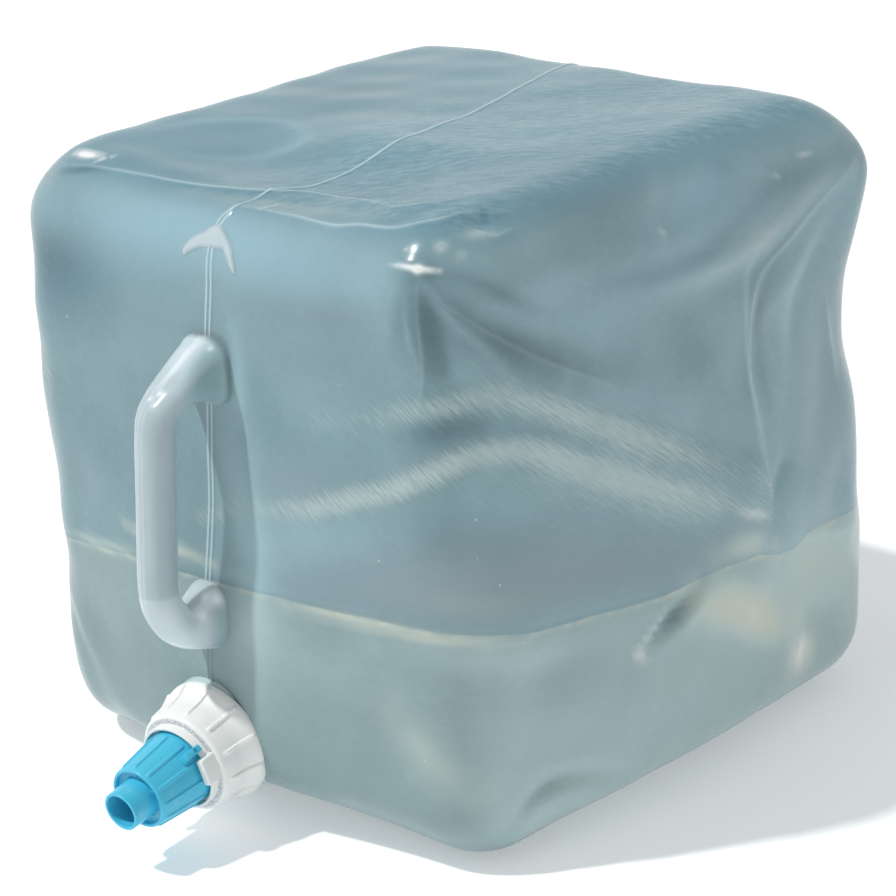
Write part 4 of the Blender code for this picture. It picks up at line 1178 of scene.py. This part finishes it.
def roundPower(value, power):
    return math.copysign(abs(value) ** power, value)


def makeHandle(finish):
    s = SimpleNamespace(**handleSize)
    sections = softCurve([np.array(row, float) for row in s.sections], 9)
    bm = bmesh.new()
    layers = {name: bm.verts.layers.float.new(name) for name in ("line", "root", "sink")}
    rings = []
    for index, (outY, outZ, inY, inZ, width, power) in enumerate(sections):
        share = index / (len(sections) - 1)
        lower = share >= 0.5
        fade = 1 - (1 - s.ridgeFaint) * easeBetween(share, s.ridgeEnd - 0.06, s.ridgeEnd)
        middle = np.array([outY + inY, outZ + inZ]) / 2
        half = np.array([outY - inY, outZ - inZ]) / 2
        ring = []
        for side in range(s.sides):
            angle = 2 * math.pi * (side + 0.5) / s.sides
            x = roundPower(math.cos(angle), power) * width
            rise = roundPower(math.sin(angle), power)
            ridge = fade * (rise > 0) * math.exp(-((abs(x) - s.ridgeGap) / s.ridgeWidth) ** 2)
            outward = half / np.linalg.norm(half) * ridge * s.ridge
            spot = np.array([x, *(middle + half * rise + outward)])
            edge = math.cos(angle) - math.sin(angle)  # painted pale rims, where the wall is seen edge on
            rim = math.exp(-((abs(edge) - 1.41) / 0.05) ** 2) * (share > 0.3)
            base = math.exp(-((rise - 0.94) / 0.07) ** 2) * easeBetween(share, 0.74, 0.84)
            # painted light on the side of the lower bend that the lamp doesn't reach
            bendLight = easeBetween(share, 0.60, 0.70) * (1 - easeBetween(share, 0.82, 0.90))
            marks = (ridge, rim, base, bendLight * easeBetween(x, 0, 6))
            line = sum(paint * mark for paint, mark in zip(s.paint, marks))
            for *at, reach, push in s.knobs:
                near = math.exp(-float(np.sum((spot - at) ** 2)) / reach ** 2)
                spot[2] += push * near
                # a painted highlight on each raised knob
                line += 0.2 * near * (push > 0)
            # painted glints
            for *at, reach in s.glints:
                line += math.exp(-float(np.sum((spot - at) ** 2)) / reach ** 2)
            start, stop, left, right = s.roots[lower]
            root = easeBetween(spot[1], start, stop) * easeBetween(x, left, right)
            root *= 1 - easeBetween(spot[2], 102, 108) if lower else 1
            vert = bm.verts.new(spot / 1000)
            vert[layers["line"]] = min(line, 1.0)
            vert[layers["root"]] = float(root)
            vert[layers["sink"]] = float(easeBetween(spot[1], *s.sinks[lower]))
            ring.append(vert)
        rings.append(ring)
    joinRings(bm, rings)
    settle(bm, "carryHandle", finish, "bag_front", "carry_handle")


tabSize = {
    "outline": [  # x and z in mm
        (3, 270), (6, 268), (9, 266), (14, 262), (17, 255), (17.5, 250), (15, 250), (11.5, 255),
        (9, 258.5), (8, 259), (4, 258.6), (0, 258.4), (-6, 257.5), (-12, 254.5), (-15, 252.5),
        (-16.5, 256), (-14, 260), (-10, 263), (-5, 265.5), (-1, 268)],
    "thickness": 0.45,
    "soft": 2.6,
    "line": 0.26,  # how pale it is, and how clear at its edge and in its middle
    "edgeSink": 0.96,
    "middleSink": 0.20,
}


def onFront(x, height, lift):
    # points on the front of the bag, at that x and height, lifted off the film
    radius = bagSize["edgeRadius"]
    up = height - bagHalf[2]
    beyond = np.clip(up - (bagHalf[2] - radius), 0, radius * 0.98)
    slope = beyond / np.sqrt(radius ** 2 - beyond ** 2)
    up = np.where(beyond > 0, bagHalf[2] - radius + radius * slope, up)
    flat = np.stack([x, np.full(len(x), -bagHalf[1]), up], axis=1)
    point, out = bagSurface(flat, fine=False)
    return point + out * lift[:, None]


def makeTab(finish):
    s = SimpleNamespace(**tabSize)
    outline = smoothPath([(x, 0, z) for x, z in s.outline + s.outline[:1]], 3)[:-1]
    bm = bmesh.new()
    bm.faces.new([bm.verts.new(place) for place in outline])
    bmesh.ops.triangulate(bm, faces=bm.faces)
    for _ in range(3):
        bmesh.ops.subdivide_edges(bm, edges=bm.edges, cuts=1)
    bmesh.ops.triangulate(bm, faces=bm.faces)
    readable(bm)
    flat = flatPoints(bm)
    edge, _ = nearPath(flat, outline + outline[:1], 0.05)
    dome = np.sin(np.clip(edge * 1000 / s.soft, 0, 1) * math.pi / 2)
    top = onFront(flat[:, 0], flat[:, 2], 0.0002 + dome * s.thickness / 1000)
    line = bm.verts.layers.float.new("line")
    sink = bm.verts.layers.float.new("sink")
    for vert, place, share in zip(bm.verts, top, dome):
        vert.co = place
        vert[line] = s.line
        vert[sink] = s.edgeSink + (s.middleSink - s.edgeSink) * share
    settle(bm, "pinchOffTab", finish, "bag_front", "pinch_off_tab")


# light, floor and camera

light = {"sunWay": (0.70, 1.0, -2.0), "sun": 2.2, "sunWidth": 3, "sky": (0.93, 0.97, 1.0),
         "skyStrength": 0.45}
view = {"at": (0.8891, -0.9060, 0.5876), "azimuth": 44.61, "elevation": 19.93, "roll": -3.379,
        "lens": 116.61}


def makeLight():
    sun = bpy.data.objects.new("sunLamp", bpy.data.lights.new("sunLamp", "SUN"))
    bpy.context.scene.collection.objects.link(sun)
    sun.data.energy = light["sun"]
    sun.data.angle = math.radians(light["sunWidth"])
    sun.rotation_euler = Vector(light["sunWay"]).to_track_quat("-Z", "Y").to_euler()
    world = bpy.data.worlds.new("sky")
    bpy.context.scene.world = world
    world.use_nodes = True
    nodes, links = world.node_tree.nodes, world.node_tree.links
    sky = nodes["Background"]
    sky.inputs["Color"].default_value = (*light["sky"], 1)
    sky.inputs["Strength"].default_value = light["skyStrength"]
    white = nodes.new("ShaderNodeBackground")
    white.inputs["Color"].default_value = (1, 1, 1, 1)
    both = nodes.new("ShaderNodeMixShader")
    path = nodes.new("ShaderNodeLightPath")
    seen = path.outputs["Is Camera Ray"]
    for ray in ("Is Glossy Ray", "Is Transmission Ray"):
        most = nodes.new("ShaderNodeMath")
        most.operation = "MAXIMUM"
        links.new(seen, most.inputs[0])
        links.new(path.outputs[ray], most.inputs[1])
        seen = most.outputs[0]
    links.new(seen, both.inputs[0])
    links.new(sky.outputs[0], both.inputs[1])
    links.new(white.outputs[0], both.inputs[2])
    links.new(both.outputs[0], nodes["World Output"].inputs[0])


def makeFloor():
    mesh = bpy.data.meshes.new("floor")
    reach, below = 4.0, -0.0004  # just under the base
    mesh.from_pydata([(-reach, -reach, below), (reach, -reach, below), (reach, reach, below),
                      (-reach, reach, below)], [], [(0, 1, 2, 3)])
    finish = Finish("paleFloor", {"Base Color": (0.86, 0.87, 0.88), "Roughness": 0.9,
                                  "Emission Color": (1, 1, 1), "Emission Strength": 0.30})
    addPiece("floor", mesh, finish)


def makeCamera():
    turn, rise, roll = (math.radians(view[name]) for name in ("azimuth", "elevation", "roll"))
    back = Vector((math.sin(turn) * math.cos(rise), -math.cos(turn) * math.cos(rise),
                   math.sin(rise)))
    right = Vector((math.cos(turn), math.sin(turn), 0))
    up = back.cross(right)
    level = Matrix((right, up, back)).transposed().to_4x4()
    camera = bpy.data.objects.new("camera", bpy.data.cameras.new("camera"))
    bpy.context.scene.collection.objects.link(camera)
    camera.data.lens = view["lens"]
    camera.data.clip_start = 0.01
    camera.matrix_world = (Matrix.Translation(view["at"]) @ level
                           @ Matrix.Rotation(roll, 4, "Z"))
    bpy.context.scene.camera = camera


def build():
    makeCamera()
    makeLight()
    makeFloor()
    makeBag()
    makeWater()
    thick = thickFilmFinish()
    makeHandle(thick)
    makeTab(thick)
    white, blue, seal, neck = [plasticFinish(name, *look) for name, look in plastics.items()]
    makeNeck(neck)
    makeCap(white)
    makeNozzle(blue)
    makeStem(white)
    for name, sizes in sealRings.items():
        makeRing(name, seal, *sizes)
    print("closure and handle done")


build()
bpy.context.scene.view_settings.view_transform = "Standard"
